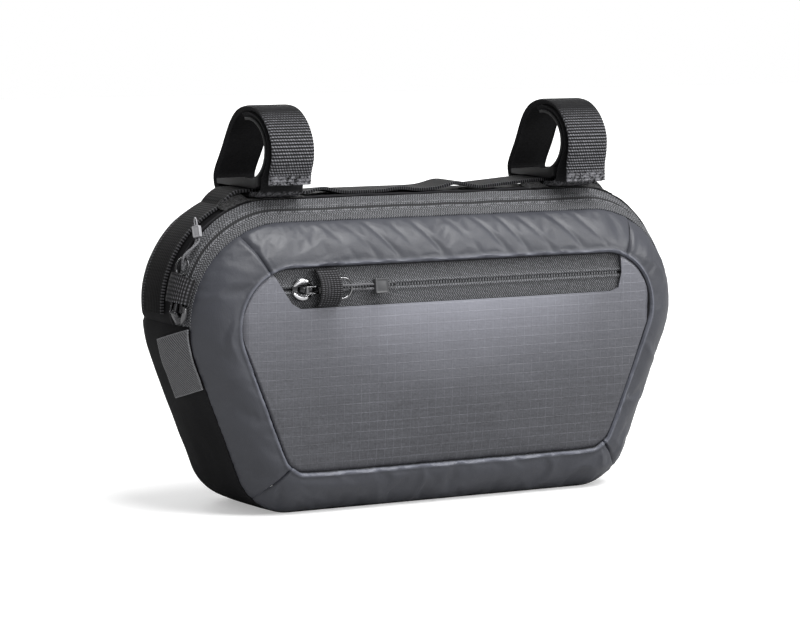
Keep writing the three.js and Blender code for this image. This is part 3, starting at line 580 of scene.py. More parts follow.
class Finish:
    """Builds one material's nodes around its Principled shader."""

    def __init__(self, name, colour, roughness, **sockets):
        self.material = bpy.data.materials.new(name)
        self.material.use_nodes = True
        self.tree = self.material.node_tree
        self.shader = self.tree.nodes["Principled BSDF"]
        self.shader.inputs["Base Color"].default_value = (*colour, 1)
        self.shader.inputs["Roughness"].default_value = roughness
        for key, value in sockets.items():
            self.shader.inputs[SOCKETS[key]].default_value = value
        self.colour = colour
        self.relief = None

    def node(self, kind, inputs=None, **settings):
        made = self.tree.nodes.new("ShaderNode" + kind)
        for key, value in settings.items():
            setattr(made, key, value)
        for key, value in (inputs or {}).items():
            if isinstance(value, Value):
                self.tree.links.new(value.socket, made.inputs[key])
            else:
                made.inputs[key].default_value = value
        return made

    def maths(self, operation, *values):
        made = self.node("Math", dict(enumerate(values)), operation=operation)
        return Value(self, made.outputs[0])

    def uv(self):
        """U and V of the piece's own map, in metres."""
        place = Value(self, self.node("UVMap").outputs["UV"])
        parts = self.node("SeparateXYZ", {"Vector": place})
        return Value(self, parts.outputs["X"]), Value(self, parts.outputs["Y"])

    def noise(self, scale, detail=4.0, rough=0.6, stretch=None):
        place = Value(self, self.node("TexCoord").outputs["Object"])
        if stretch:
            place = Value(self, self.node("Mapping", {"Vector": place, "Scale": stretch}).outputs[0])
        sockets = {"Vector": place, "Scale": scale, "Detail": detail, "Roughness": rough}
        return Value(self, self.node("TexNoise", sockets).outputs["Fac"])

    def wave(self, place, pitch, phase=0.0):
        """Sine of a place over a pitch, from 0 to 1."""
        return self.maths("SINE", place * (math.tau / pitch) + phase) * 0.5 + 0.5

    def pulse(self, place, pitch, width):
        """1 on a line of that width once every pitch, and 0 between."""
        off = abs(self.maths("FRACT", place / pitch) - 0.5)
        return off.ramp(0.5 * width / pitch, width / pitch, 1.0, 0.0)

    def shade(self, share, dark, light):
        """Base colour from dark to light times the finish's colour."""
        ends = {0: share, 6: self.scaled(dark), 7: self.scaled(light)}
        mix = self.node("Mix", ends, data_type="RGBA")
        self.tree.links.new(mix.outputs[2], self.shader.inputs["Base Color"])

    def scaled(self, times):
        return (*[c * times for c in self.colour], 1)

    def gloss(self, share, low, high):
        """Roughness from low to high."""
        self.tree.links.new(share.ramp(0.0, 1.0, low, high).socket, self.shader.inputs["Roughness"])

    def bump(self, height, distance, strength=1.0):
        """Adds one layer of relief, that many metres deep."""
        sockets = {"Height": height, "Distance": distance, "Strength": strength}
        if self.relief is not None:
            sockets["Normal"] = self.relief
        self.relief = Value(self, self.node("Bump", sockets).outputs["Normal"])
        self.tree.links.new(self.relief.socket, self.shader.inputs["Normal"])

    def weave(self, pitch, depth, strength):
        """Relief of a plain weave."""
        u, v = self.uv()
        self.bump(self.wave(u, pitch) * self.wave(v, pitch), depth, strength)


@functools.cache
def coated_cloth():
    """Satin coated cloth, with a painted highlight on the roll beside the inner seam and painted shade in
    the seam itself.
    """
    finish = Finish("coated_cloth", colours().border, 0.46, specular=0.52)
    _, v = finish.uv()
    patchy = finish.noise(170, 4, 0.7) * 1.1 + 0.1
    # Painted highlight: the roll just inside the inner seam is made lighter, in patches.
    painted_highlight = abs(v - 0.94 * BORDER_WIDTH).ramp(0.0004, 0.0012, 1.0, 0.0) * patchy
    # Painted shade: darker in the last stretch of the panel before the inner seam.
    seam = v.ramp(0.968 * BORDER_WIDTH, 0.985 * BORDER_WIDTH, 0.0, -0.6)
    finish.shade(painted_highlight * 0.85 + (finish.noise(28, 5) * 0.21 + 0.224) + seam, 0.2, 2.7)
    finish.gloss(finish.noise(120, 6, 0.7), 0.38, 0.54)
    finish.bump(finish.noise(60, 5, 0.55), 0.0006, 0.5)
    finish.bump(finish.noise(420, 4, 0.6), 0.00022, 0.5)
    finish.weave(0.0006, 0.00005, 0.35)
    return finish.material


@functools.cache
def ripstop():
    """Grey ripstop with a faint broken grid; a painted sheen makes it paler towards the top of the panel,
    and painted shade darkens its bottom.
    """
    finish = Finish("ripstop", colours().pocket, 0.43, specular=0.5)
    u, v = finish.uv()
    speckle = finish.noise(900, 3, 0.7)
    across = finish.pulse(u, RIPSTOP_GRID, 0.00028) * 0.7
    lines = across.larger(finish.pulse(v, RIPSTOP_GRID, 0.0003))
    patchy = finish.noise(38, 3, 0.7).ramp(2.0 / 4.6, 3.0 / 4.6, 0.25, 1.0)
    broken = lines * (speckle * 2.4 - 0.45) * patchy
    # Painted sheen: paler towards the top of the panel, most of all a little right of its middle.
    off = (u - 0.006) * 11.0
    painted_sheen = v.ramp(0.045, 0.1, 0.0, 1.0) ** 1.7 * (1.0 - off * off).larger(0.35)
    slub = finish.noise(1, 3, 0.7, (60, 60, 900)) * 0.16
    # Painted shade: a little darker along the bottom of the panel.
    low = v.ramp(0.02, 0.06, -0.05, 0.0)
    finish.shade(speckle * 0.22 + slub + painted_sheen * 0.8 + broken * 0.145 + low, 0.18, 3.6)
    finish.weave(0.0007, 0.00006, 0.5)
    finish.bump(lines, 0.00006, 0.6)
    finish.bump(finish.noise(45, 4, 0.5), 0.0006, 0.5)
    return finish.material


@functools.cache
def black_cloth(name, fold):
    """Matt black woven cloth, with a painted highlight along a folded edge that runs at V = fold."""
    finish = Finish(name, colours().body, 0.78, specular=0.12)
    _, v = finish.uv()
    # Painted highlight along the folded edge, in patches.
    painted_highlight = abs(v - fold).ramp(0.0002, 0.0007, 0.9, 0.0) * finish.noise(300, 3, 0.7)
    finish.shade(finish.noise(30, 5) * 0.12 + painted_highlight, 0.7, 5.5)
    finish.weave(0.0008, 0.00008, 0.5)
    finish.bump(finish.noise(35, 4, 0.5), 0.0016, 0.5)
    return finish.material


@functools.cache
def zip_tape(name, middle):
    """Herringbone tape with a row of stitches on each side of the teeth, which run at V = middle, and
    painted shade in the groove along the teeth.
    """
    finish = Finish(name, colours().tape, 0.8, specular=0.3)
    u, v = finish.uv()
    fold = abs(finish.maths("FRACT", v / CHEVRON) - 0.5)
    thread = finish.wave(fold * CHEVRON + u, 0.00125) * (finish.wave(v, 0.0006) * 0.8 + 0.2)
    off = abs(v - middle)
    row = abs(off - 0.0015).ramp(0.0003, 0.0005, 1.0, 0.0)
    stitches = finish.wave(off * 0.8 + u, 0.0015)
    stitches = stitches * stitches * row
    grain = (thread * (finish.noise(1100, 2) * 2.4 - 0.25)).larger(stitches * 0.85)
    # Painted shade: the tape is darker where it dips into the groove between the two tapes.
    groove = off.ramp(0.0004, 0.0008, 0.0, 1.0)
    finish.shade(grain * groove + (groove * 0.1 - 0.1), 0.42, 4.1)
    finish.bump(thread, 0.00025, 0.9)
    finish.bump(stitches, 0.0003, 0.8)
    return finish.material


@functools.cache
def coil_teeth():
    finish = Finish("coil_teeth", colours().tape, 0.5, specular=0.45)
    finish.shade(finish.noise(700, 3), 2.4, 4.2)
    return finish.material


@functools.cache
def webbing_cloth(rib, low, high):
    """Black ribbed webbing with light picks where its ribs turn at the edges."""
    finish = Finish("webbing_cloth", colours().webbing, 0.8, specular=0.12)
    u, v = finish.uv()
    ribs = finish.wave(u, rib)
    picks = finish.wave(v, 0.0016)
    grain = ribs * picks * (finish.noise(900, 2) * 1.2 + 0.2)
    edge = (v - low).smaller(high - v).ramp(0.0006, 0.0014, 1.0, 0.0)
    turns = edge * ribs**2.0 * (finish.noise(900, 2) * 1.6 + 0.1)
    finish.shade(grain * 0.04 + turns, 0.35, 7.5)
    finish.bump(ribs, 0.0001, 0.6)
    finish.bump(picks, 0.00012, 0.7)
    return finish.material


@functools.cache
def strap_cloth(name, pitch, loops_from, loops_to):
    """Dark strap with light woven ribs on its front, a stitched hem, and a fuzzy stretch at its foot."""
    finish = Finish(name, colours().webbing, 0.8, specular=0.14)
    u, v = finish.uv()
    rows = finish.wave(u, pitch, -math.pi / 2) ** 1.6
    picks = finish.wave(u * 0.45 + v, 0.00135) ** 1.3 * 0.85 + 0.15
    rib = rows * picks * u.ramp(0.028, 0.037, 1.0, 0.0) * (finish.noise(1100, 2, 0.7) * 2.9 - 0.4)
    hem = u.ramp(0.0036, 0.0052, 1.0, 0.0)
    fuzz = finish.noise(750, 2, 0.8) * 3.6 - 1.35
    foot = u.ramp(loops_from, loops_from + 0.001, 0.0, 1.0) * u.ramp(loops_to - 0.001, loops_to, 1.0, 0.0)
    tone = (rib + finish.noise(900, 3, 0.8) * 0.07) * (1.0 - hem)
    finish.shade(tone.larger(hem * fuzz).larger(foot * fuzz * 0.55), 0.3, 19.0)
    finish.bump(rows, 0.00012, 0.6)
    finish.bump(finish.noise(900, 3, 0.7), 0.00025, 0.7)
    return finish.material


@functools.cache
def rubber():
    finish = Finish("rubber", colours().rubber, 0.55, specular=0.4)
    finish.shade(finish.noise(90, 3), 0.8, 1.25)
    finish.bump(finish.noise(700, 3), 0.0001, 0.4)
    return finish.material


@functools.cache
def slider_metal(name, share):
    """Polished metal, its colour a share of the slider metal's."""
    finish = Finish(name, [share * c for c in colours().metal], 0.16, metallic=1.0)
    finish.gloss(finish.noise(400, 3), 0.1, 0.24)
    finish.shade(finish.noise(150, 3), 0.9, 1.1)
    return finish.material


@functools.cache
def wire_metal():
    finish = Finish("wire_metal", colours().wire, 0.25, metallic=1.0)
    finish.gloss(finish.noise(500, 3), 0.18, 0.32)
    finish.shade(finish.noise(200, 3), 0.85, 1.2)
    return finish.material


@functools.cache
def band_cloth():
    """Ribbed band over a pull, its ribs along the zip."""
    finish = Finish("band_cloth", colours().webbing, 0.8, specular=0.25)
    u, v = finish.uv()
    rows = finish.wave(u, 0.0013) ** 1.8
    picks = finish.wave(v, 0.0015) ** 1.2 * 0.85 + 0.15
    finish.shade(rows * picks * (finish.noise(1100, 2, 0.7) * 1.8), 0.5, 10.0)
    finish.bump(rows, 0.0002, 0.9)
    finish.bump(picks, 0.00012, 0.7)
    return finish.material


@functools.cache
def cord_cloth():
    finish = Finish("cord_cloth", colours().cord, 0.8, specular=0.3)
    u, v = finish.uv()
    along = u / 0.0016
    braid = finish.wave(v * 2.0 + along, 1.0).larger(finish.wave(v * -2.0 + along, 1.0))
    finish.shade(braid, 0.5, 2.1)
    finish.bump(braid, 0.0001, 0.7)
    return finish.material


@functools.cache
def moulded_end(end):
    finish = Finish(end + "_moulding", getattr(colours(), end + "_end"), 0.5, specular=0.45)
    finish.shade(finish.noise(300, 3), 0.92, 1.08)
    finish.bump(finish.noise(1500, 2), 0.00004, 0.4)
    return finish.material


@functools.cache
def twill():
    """Grey twill of the label, with pale frayed edges."""
    finish = Finish("twill", colours().label, 0.78, specular=0.3)
    u, v = finish.uv()
    rows = finish.wave(u + v, 0.0016)
    thread = rows * (finish.wave(u - v, 0.0011) * 0.6 + 0.4)
    grain = finish.noise(1100, 2, 0.7) * 1.6 + 0.2
    rim = u.smaller(LABEL_LONG - u).smaller(v.smaller(LABEL_WIDE - v))
    fray = rim.ramp(0.0002, 0.0009, 1.0, 0.0) * (finish.noise(1500, 2, 0.7) * 2.2 - 0.4)
    finish.shade((thread * grain).larger(fray), 0.36, 2.1)
    finish.bump(rows, 0.00015, 0.9)
    return finish.material


@functools.cache
def fuzzy():
    finish = Finish("fuzzy", colours().webbing, 0.95, sheen=0.08)
    finish.shade(finish.noise(750, 2, 0.8) * 3.6 - 1.6, 0.2, 4.0)
    finish.bump(finish.noise(1100, 3, 0.8), 0.0009, 1.0)
    return finish.material


# Settings that a user would change


def length_setting(name, description, default, low, high):
    return bpy.props.FloatProperty(
        name=name, description=description, default=default, min=low, max=high, unit="LENGTH",
    )


class BagSizes(bpy.types.PropertyGroup):
    """Sizes of the fine shapes, in metres"""

    fold_depth: length_setting("Fold depth", "Depth of the soft folds across the border", 0.0005, 0.0, 0.004)
    pucker: length_setting("Pucker", "Depth of the gathers along the border's seams", 0.00035, 0.0, 0.002)
    rib: length_setting("Rib pitch", "Distance between the ribs of the straps", 0.0014, 0.0006, 0.003)
    tooth: length_setting("Tooth pitch", "Distance between the pocket zip's teeth", 0.0015, 0.001, 0.003)


def colour_setting(name, description, default):
    return bpy.props.FloatVectorProperty(
        name=name, description=description, default=default,
        subtype="COLOR", size=3, min=0.0, max=1.0,
    )


class BagColours(bpy.types.PropertyGroup):
    """Colours of the finishes"""

    border: colour_setting("Border", "Coated cloth of the padded border", (0.0455, 0.0478, 0.0585))
    pocket: colour_setting("Pocket", "Ripstop of the pocket panel", (0.083, 0.0845, 0.097))
    body: colour_setting("Body", "Black cloth of the gussets and back", (0.009, 0.009, 0.01))
    tape: colour_setting("Zip tape", "Herringbone tape of both zips", (0.062, 0.063, 0.067))
    webbing: colour_setting("Webbing", "Webbing, straps and pull bands", (0.013, 0.013, 0.014))
    rubber: colour_setting("Rubber", "Pads under the bar", (0.009, 0.009, 0.01))
    metal: colour_setting("Slider metal", "Wings of both sliders and the pocket pull", (0.75, 0.75, 0.77))
    wire: colour_setting("Wire metal", "Slider plates and the main pull", (0.08, 0.08, 0.084))
    cord: colour_setting("Cord", "Pull cords", (0.08, 0.08, 0.085))
    pocket_end: colour_setting("Pocket end", "Moulded end of the pocket pull", (0.07, 0.071, 0.075))
    main_end: colour_setting("Main end", "Moulded end of the main pull", (0.34, 0.34, 0.355))
    label: colour_setting("Label", "Bare side label", (0.12, 0.121, 0.127))


def sizes():
    return bpy.context.scene.bag_sizes


def colours():
    return bpy.context.scene.bag_colours


# Border folds: place along the panel as a share, and depth, width and slant in metres
BORDER_FOLDS = {
    "border_top": [
        (0.17, -0.4, 0.0025, 0.015),
        (0.225, -0.8, 0.0017, 0.016),
        (0.278, -0.8, 0.0016, 0.017),
        (0.333, -1.1, 0.0017, 0.018),
        (0.39, -0.5, 0.0018, 0.017),
        (0.448, -1.1, 0.0018, 0.017),
        (0.54, -0.8, 0.0018, 0.017),
        (0.61, -1.0, 0.0018, 0.017),
        (0.667, -0.8, 0.0016, 0.015),
        (0.725, -0.9, 0.0017, 0.017),
        (0.81, -1.1, 0.0018, 0.018),
        (0.875, -0.8, 0.0016, 0.018),
        (0.95, -0.9, 0.003, 0.004),
    ],
    "border_left": [
        (0.06, -0.9, 0.0035, -0.014),
        (0.14, 0.8, 0.004, -0.016),
        (0.3, -0.8, 0.005, -0.022),
        (0.42, 0.5, 0.005, -0.022),
        (0.52, -0.6, 0.004, -0.02),
        (0.66, 0.6, 0.005, -0.016),
        (0.8, -0.7, 0.003, 0.01),
        (0.9, 0.5, 0.003, 0.012),
    ],
    "border_right": [
        (0.04, -1.0, 0.002, 0.006),
        (0.1, 0.9, 0.002, 0.008),
        (0.17, -0.7, 0.002, 0.008),
        (0.3, -0.4, 0.003, 0.01),
        (0.42, 0.4, 0.004, 0.01),
        (0.55, -0.4, 0.003, -0.006),
        (0.7, -0.5, 0.0025, -0.008),
        (0.84, -0.7, 0.0022, -0.01),
        (0.93, 0.6, 0.002, -0.008),
    ],
    "border_base": [
        (0.05, 0.6, 0.003, 0.004),
        (0.14, -0.5, 0.0035, 0.003),
        (0.27, 0.4, 0.004, 0.002),
        (0.36, -0.7, 0.0026, 0.001),
        (0.44, 0.4, 0.004, 0.0),
        (0.5, -0.7, 0.0026, -0.002),
        (0.6, 0.4, 0.005, -0.002),
        (0.71, -0.4, 0.003, -0.003),
        (0.92, 0.4, 0.004, -0.006),
    ],
}

MITRE_TOP = (TOP_HALF + 0.48 * SHOULDER_RADIUS, TOP_HALF + 0.46 * SHOULDER_RADIUS)
MITRE_BASE = (AT_BASE_CORNER + 0.45 * BASE_RADIUS, AT_BASE_CORNER + 0.4 * BASE_RADIUS)


def mirrored(mitre):
    return -mitre[0], -mitre[1]


def wrapped(mitre):
    return 2 * AT_MIDDLE - mitre[0], 2 * AT_MIDDLE - mitre[1]


BORDER_ENDS = {
    "border_top": (mirrored(MITRE_TOP), MITRE_TOP),
    "border_left": (mirrored(MITRE_BASE), mirrored(MITRE_TOP)),
    "border_right": (MITRE_TOP, MITRE_BASE),
    "border_base": (MITRE_BASE, wrapped(MITRE_BASE)),
}


def border_inset(u, v):
    """Distance inwards from the front seam, at a share across: the pocket's low corners are rounder."""
    corner = (AT_BASE_CORNER + AT_BASE) / 2
    full = CORNER_FULL * hump(seam_distance(u) - corner, 0.53 * BASE_RADIUS)
    return lerp(GAP / 2, BORDER_WIDTH - GAP / 2 + full, v)


def border_surface(name):
    """Outer face of one border panel over its share along and its share across."""
    start, end = BORDER_ENDS[name]
    length = end[0] - start[0]
    folds = BORDER_FOLDS[name]
    deep = sizes().fold_depth
    pucker = sizes().pucker
    crinkle = 0.2 if name == "border_top" else 2.6

    def fold_height(off, depth, width):
        """A crease, with the soft fullness of the cloth before it."""
        return depth * hump(off, 1.15 * width) + 0.22 * abs(depth) * hump(off + 2.6 * width, 2.2 * width)

    def surface(u, v):
        share = (u - start[0]) / length
        shift = v * lerp(start[1] - start[0], end[1] - end[0], share)
        x, z, nx, nz = outline(u + shift, -border_inset(u + shift, v))
        wave = sum(
            fold_height(u - start[0] - at * length - slant * (v - 0.5), depth, width)
            for at, depth, width, slant in folds
        )
        place = Vector((u * 45, v * 1.3, 0.3))
        wave += 0.4 * noise.noise(place) + 0.2 * noise.noise(place * 2.3)
        crease = 1 - 3.2 * abs(noise.noise(Vector((x * 62, z * 48, 5.1))))
        worn = clamp(0.35 + 1.6 * noise.noise(Vector((x * 24, z * 24, 8.4))))
        wave += crinkle * worn * max(crease, 0.0) ** 1.5
        near_end = hump(share, 0.03) + hump(1 - share, 0.03)
        gather = noise.noise(Vector((u * 330, v * 4, 1.7)))
        gather *= hump(v, 0.14) + 0.35 * hump(1 - v, 0.12) + near_end
        puff = BORDER_PUFF * math.sin(math.pi * v**1.2) ** 0.65 + 0.0009 * hump(v - 0.93, 0.04)
        fade = math.sin(math.pi * v) ** 0.6 * (1 - 0.85 * hump(v - 0.93, 0.13))
        puff += deep * wave * fade + pucker * gather
        edge = 0.0009 * (hump(v, 0.035) + hump(1 - v, 0.03))
        edge += 0.0014 * (hump(share * length, 0.001) + hump((1 - share) * length, 0.001))
        out = 0.3 * puff * (1 - v)
        y = FRONT_Y - GAP / 2 - BORDER_RISE * v - puff + edge
        return Vector((x + nx * out, y, z + nz * out))

    return surface


class BAG_OT_border(bpy.types.Operator):
    """Padded front border of four panels, with its folds"""

    bl_idname = "bag.border"
    bl_label = "Border"

    def execute(self, context):
        for name, (start, end) in BORDER_ENDS.items():
            columns = even(start[0], end[0], 0.001)
            piece = cloth(name + "_pad", columns, spread(0, 1, 34), border_surface(name))
            for loop in piece.data.uv_layers.active.data:
                loop.uv.y *= BORDER_WIDTH
            loosen(piece, 0.004, 5.0, 5.0, 0.002)
            sew(piece, PANEL, coated_cloth(), "coated_cloth", name)
        return {"FINISHED"}


# Lower edge of the zip's window, from its left end to its right end, as x and z
WINDOW_EDGE = [
    (-WINDOW_LEFT - WINDOW_SLANT, POCKET_TOP - CLOTH),
    (-WINDOW_LEFT + 0.6 * WINDOW_SLANT, WINDOW_LOW + WINDOW_CORNER),
    (-WINDOW_LEFT + 1.4 * WINDOW_SLANT, WINDOW_LOW),
    (WINDOW_RIGHT - 1.0 * WINDOW_SLANT, WINDOW_LOW),
    (WINDOW_RIGHT - 0.3 * WINDOW_SLANT, WINDOW_LOW + 0.6 * WINDOW_CORNER),
    (WINDOW_RIGHT, POCKET_TEETH),
]


def window_low(x):
    """Lower limit of the zip's window at x, or None beside the window."""
    for (x0, z0), (x1, z1) in zip(WINDOW_EDGE, WINDOW_EDGE[1:]):
        if x0 <= x <= x1:
            return lerp(z0, z1, (x - x0) / (x1 - x0))
    return None


def inner_limits(x):
    """Lowest and highest z of the pocket's outline at x."""
    tuck = BORDER_WIDTH - 2 * GAP
    radius = SHOULDER_RADIUS - tuck
    across = abs(x)
    high = SEAM_HEIGHT - tuck
    if across > TOP_HALF:
        high = SHOULDER_Z + math.sqrt(max(radius**2 - (across - TOP_HALF) ** 2, 0))
    low = search(AT_SIDE, AT_MIDDLE, lambda u: outline(u, GAP - border_inset(u, 1))[0] > across)
    return outline(low, GAP - border_inset(low, 1))[1], high


def pocket_surface(x, v):
    low, high = inner_limits(x)
    window = window_low(x)
    if window is not None:
        high = min(high, window)
    z = lerp(low, high, v)
    rim = min(z - low, inner_limits(x)[1] - z, POCKET_HALF - abs(x))
    y = POCKET_Y - pocket_swell(x, z)
    ripple = two_noises((x * 22, z * 30, 0), 0.5, (x * 60, z * 60, 4))
    y -= 0.0005 * ripple * clamp(rim / 0.01)
    pleat = noise.noise(Vector((x * 160, z * 160, 9)))
    y -= 0.0003 * pleat * hump(rim, 0.006)
    y += 0.001 * hump(rim, 0.0009)
    return Vector((x, y, z))


class BAG_OT_pocket(bpy.types.Operator):
    """Ripstop pocket panel with the zip's window, its tapes and its teeth"""

    bl_idname = "bag.pocket"
    bl_label = "Pocket"

    def execute(self, context):
        half = POCKET_HALF + GAP
        columns = sorted(
            even(-half, half, 0.0016)
            + [x for x, _ in WINDOW_EDGE]
            + [WINDOW_RIGHT + 0.00002, -WINDOW_LEFT - WINDOW_SLANT - 0.00002]
        )
        piece = cloth("pocket_front", columns, spread(0, 1, 60), pocket_surface)
        map_flat(piece)
        sew(piece, 0.0011, ripstop(), "ripstop", "pocket_panel")
        self.tapes()
        self.teeth()
        return {"FINISHED"}

    def tapes(self):
        columns = even(-WINDOW_LEFT - WINDOW_SLANT - TAPE_LAP, WINDOW_RIGHT + TAPE_LAP, 0.0015)
        spans = {
            "pocket_tape_upper": (POCKET_TEETH + MEET, POCKET_TOP + TAPE_LAP, 1),
            "pocket_tape_lower": (WINDOW_LOW - TAPE_LAP, POCKET_TEETH - MEET, -1),
        }
        for node, (low, high, side) in spans.items():

            def surface(x, z):
                off = abs(z - POCKET_TEETH)
                y = POCKET_Y - pocket_swell(x, z) + CLOTH + GAP
                y += 0.0007 * hump(off, 0.00045) - 0.0006 * hump(off - 0.0015, 0.0009)
                y += 0.0002 * noise.noise(Vector((x * 90, z * 90, side)))
                return Vector((x, y, z))

            piece = cloth(node + "_cloth", columns, even(low, high, 0.0006), surface)
            sew(piece, TAPE_CLOTH, zip_tape("pocket_tape", POCKET_TEETH), "zip_tape", node)

    def teeth(self):
        y = POCKET_Y + CLOTH + GAP
        tooth = box((0, 0, 0), (0.00072, 0.0008, 0.0012))
        modify(tooth, "BEVEL", width=0.0002, segments=1)
        shape = tooth.data
        made = []
        for x in even(-WINDOW_LEFT + 0.018, WINDOW_RIGHT - 0.002, sizes().tooth):
            copy = bpy.data.objects.new("tooth", shape.copy())
            bpy.context.scene.collection.objects.link(copy)
            depth = y - pocket_swell(x, POCKET_TEETH) + 0.0003
            copy.data.transform(Matrix.Translation((x, depth, POCKET_TEETH)))
            made.append(copy)
        bpy.data.objects.remove(tooth)
        row = join(made, "pocket_teeth")
        smooth(row, 60)
        settle(row, coil_teeth(), "zip_tape")


class BAG_OT_body(bpy.types.Operator):
    """Main zip, gussets and back"""

    bl_idname = "bag.body"
    bl_label = "Body"

    def execute(self, context):
        self.main_zip()
        self.gussets()
        self.back()
        return {"FINISHED"}

    def main_zip(self):
        middle = ZIP_DEPTH / 2
        spans = {
            "main_tape_front": (GAP / 2, middle - MEET),
            "main_tape_back": (middle + MEET, ZIP_DEPTH - GAP / 2),
        }
        columns = even(-AT_SIDE + GAP, AT_SIDE - GAP, 0.0015)
        for node, (low, high) in spans.items():

            def surface(u, t):
                off = abs(t - middle)
                ridge = 0.0006 * hump(off - 0.0014, 0.0009) - 0.0007 * hump(off, 0.0004)
                sag = 0.0003 * noise.noise(Vector((u * 70, t * 70, 0)))
                return body_point(u, t, ridge + sag)

            piece = cloth(node + "_cloth", columns, even(low, high, 0.0005), surface)
            sew(piece, TAPE_CLOTH, zip_tape("main_tape", middle), "zip_tape", node)

    def gussets(self):
        fold_place = ZIP_DEPTH + 1.5 * PIPING
        rear = BODY_DEPTH - CLOTH - GAP

        def upper(u, t):
            fold = PIPING * hump(t - fold_place, PIPING)
            ripple = two_noises((u * 45, t * 50, 0), 0.5, (u * 110, t * 90, 3))
            end = 0.0008 * (hump(u + AT_SIDE, 0.0012) + hump(u - AT_SIDE, 0.0012))
            return body_point(u, t, fold + 0.0005 * ripple - end)

        columns = even(-AT_SIDE - MEET, AT_SIDE + MEET, 0.0015)
        piece = cloth("gusset_upper_cloth", columns, even(ZIP_DEPTH + GAP / 2, rear, 0.001), upper)
        sew(piece, PANEL, black_cloth("gusset_cloth", fold_place), "black_cloth", "gusset_upper")

        far = 2 * AT_MIDDLE - AT_SIDE

        def lower(u, t):
            flat = clamp((seam_distance(u) - AT_BASE_CORNER) / (AT_BASE - AT_BASE_CORNER))
            ripple = two_noises((u * 30, t * 40, 5), 0.5, (u * 80, t * 80, 8))
            end = 0.0008 * (hump(u - AT_SIDE, 0.0012) + hump(u - far, 0.0012))
            return body_point(u, t, 0.0006 * ripple * (1 - flat) - end)

        columns = even(AT_SIDE, far, 0.002)
        piece = cloth("gusset_lower_cloth", columns, even(GAP / 2, rear, 0.0015), lower)
        sew(piece, PANEL, black_cloth("black_cloth", NO_FOLD), "black_cloth", "gusset_lower")

    def back(self):
        half = outline(AT_SIDE, body_out(AT_SIDE, BODY_DEPTH))[0] - 0.0002

        def limits(x):
            low = search(AT_SIDE, AT_MIDDLE, lambda u: body_point(u, BODY_DEPTH).x > abs(x))
            high = search(0, AT_SIDE, lambda u: body_point(u, BODY_DEPTH).x <= abs(x))
            return body_point(low, BODY_DEPTH).z, body_point(high, BODY_DEPTH).z

        def surface(x, v):
            low, high = limits(x)
            z = lerp(low, high, v)
            puff = BACK_PUFF * swell(x, z, half, 0, SEAM_HEIGHT + ZIP_RISE)
            ripple = two_noises((x * 20, z * 26, 2), 0.4, (x * 70, z * 70, 6))
            rim = min(z - low, high - z)
            y = FRONT_Y + BODY_DEPTH + puff + 0.0005 * ripple * clamp(rim / 0.012)
            return Vector((x, y - 0.001 * hump(rim, 0.0012), z))

        piece = cloth("back_cloth", even(-half, half, 0.003), spread(0, 1, 60), surface)
        map_flat(piece)
        sew(piece, PANEL, black_cloth("black_cloth", NO_FOLD), "black_cloth", "back_panel")


# Loops of the carrying webbing: place as a share of the top half, lift as a share of the strap, width as a
# share of the top half, and how much of the lift is left at the back edge
WEBBING_LOOPS = [(-0.61, 1.0, 0.09, 0.0), (-0.12, 0.5, 0.08, 0.0), (0.25, 1.1, 0.1, 1.0)]

# Straps: side, free end's height as a share of the bar's, stand-off as a share of the strap, rear as a
# share of the bar's depth, and the webbing's run-up as a share of the strap's width
STRAPS = {
    "left": (-1, -0.08, 0.27, 0.985, 0.28),
    "right": (1, -0.2, 0.73, 0.885, 1.6),
}
OUTER_TURN = [(190, 0.73), (168, 0.55), (140, 0.18), (112, 0.09), (88, 0), (62, 0.18), (38, 0.18)]
INNER_TURN = [(228, 0.55), (205, 0), (180, 0), (150, 0), (120, 0), (90, 0), (72, 0)]

# Fuzzy patches under the straps: name, and stations of the left and right ends
HOOK_PATCHES = [("hook_patch_left", -0.101, -0.064), ("hook_patch_right", 0.056, 0.1)]
PATCH_RISE = 0.0026

TOP_Z = SEAM_HEIGHT + ZIP_RISE
BASE_RUN = TOP_Z + 2 * GAP + STRAP / 2
PAD_LOW = TOP_Z + STRAP + WEBBING + 4 * GAP
INNER_LAYER = SLEEVE + 2 * GAP + STRAP / 2
OUTER_LAYER = INNER_LAYER + STRAP + 1.5 * GAP


def webbing_lift(u, back):
    """Height of the webbing over the bag, at a share of its width from the front edge."""
    share = u / TOP_HALF
    lifts = [
        sum(
            lift * STRAP * hump(share - at, width) * lerp(1, left, back)
            for at, lift, width, left in WEBBING_LOOPS
        )
    ]
    for side, _, _, _, run_up in STRAPS.values():
        inner = STRAP_PLACE - side * u
        run = STRAP_WIDTH * (run_up if inner > 0 else 1 / 3)
        past = abs(inner) - STRAP_WIDTH / 2 - WEBBING_STEP
        over = STRAP + GAP + SEAM_HEIGHT - outline(u, 0)[1]
        lifts.append(over * clamp(1 - past / run))
    return max(lifts)


def round_bar(degrees, out):
    angle = math.radians(degrees)
    y = BAR_Y + (BAR_DEPTH / 2 + out) * math.cos(angle)
    z = BAR_Z + (BAR_HEIGHT / 2 + out) * math.sin(angle)
    return 0.0, y, z


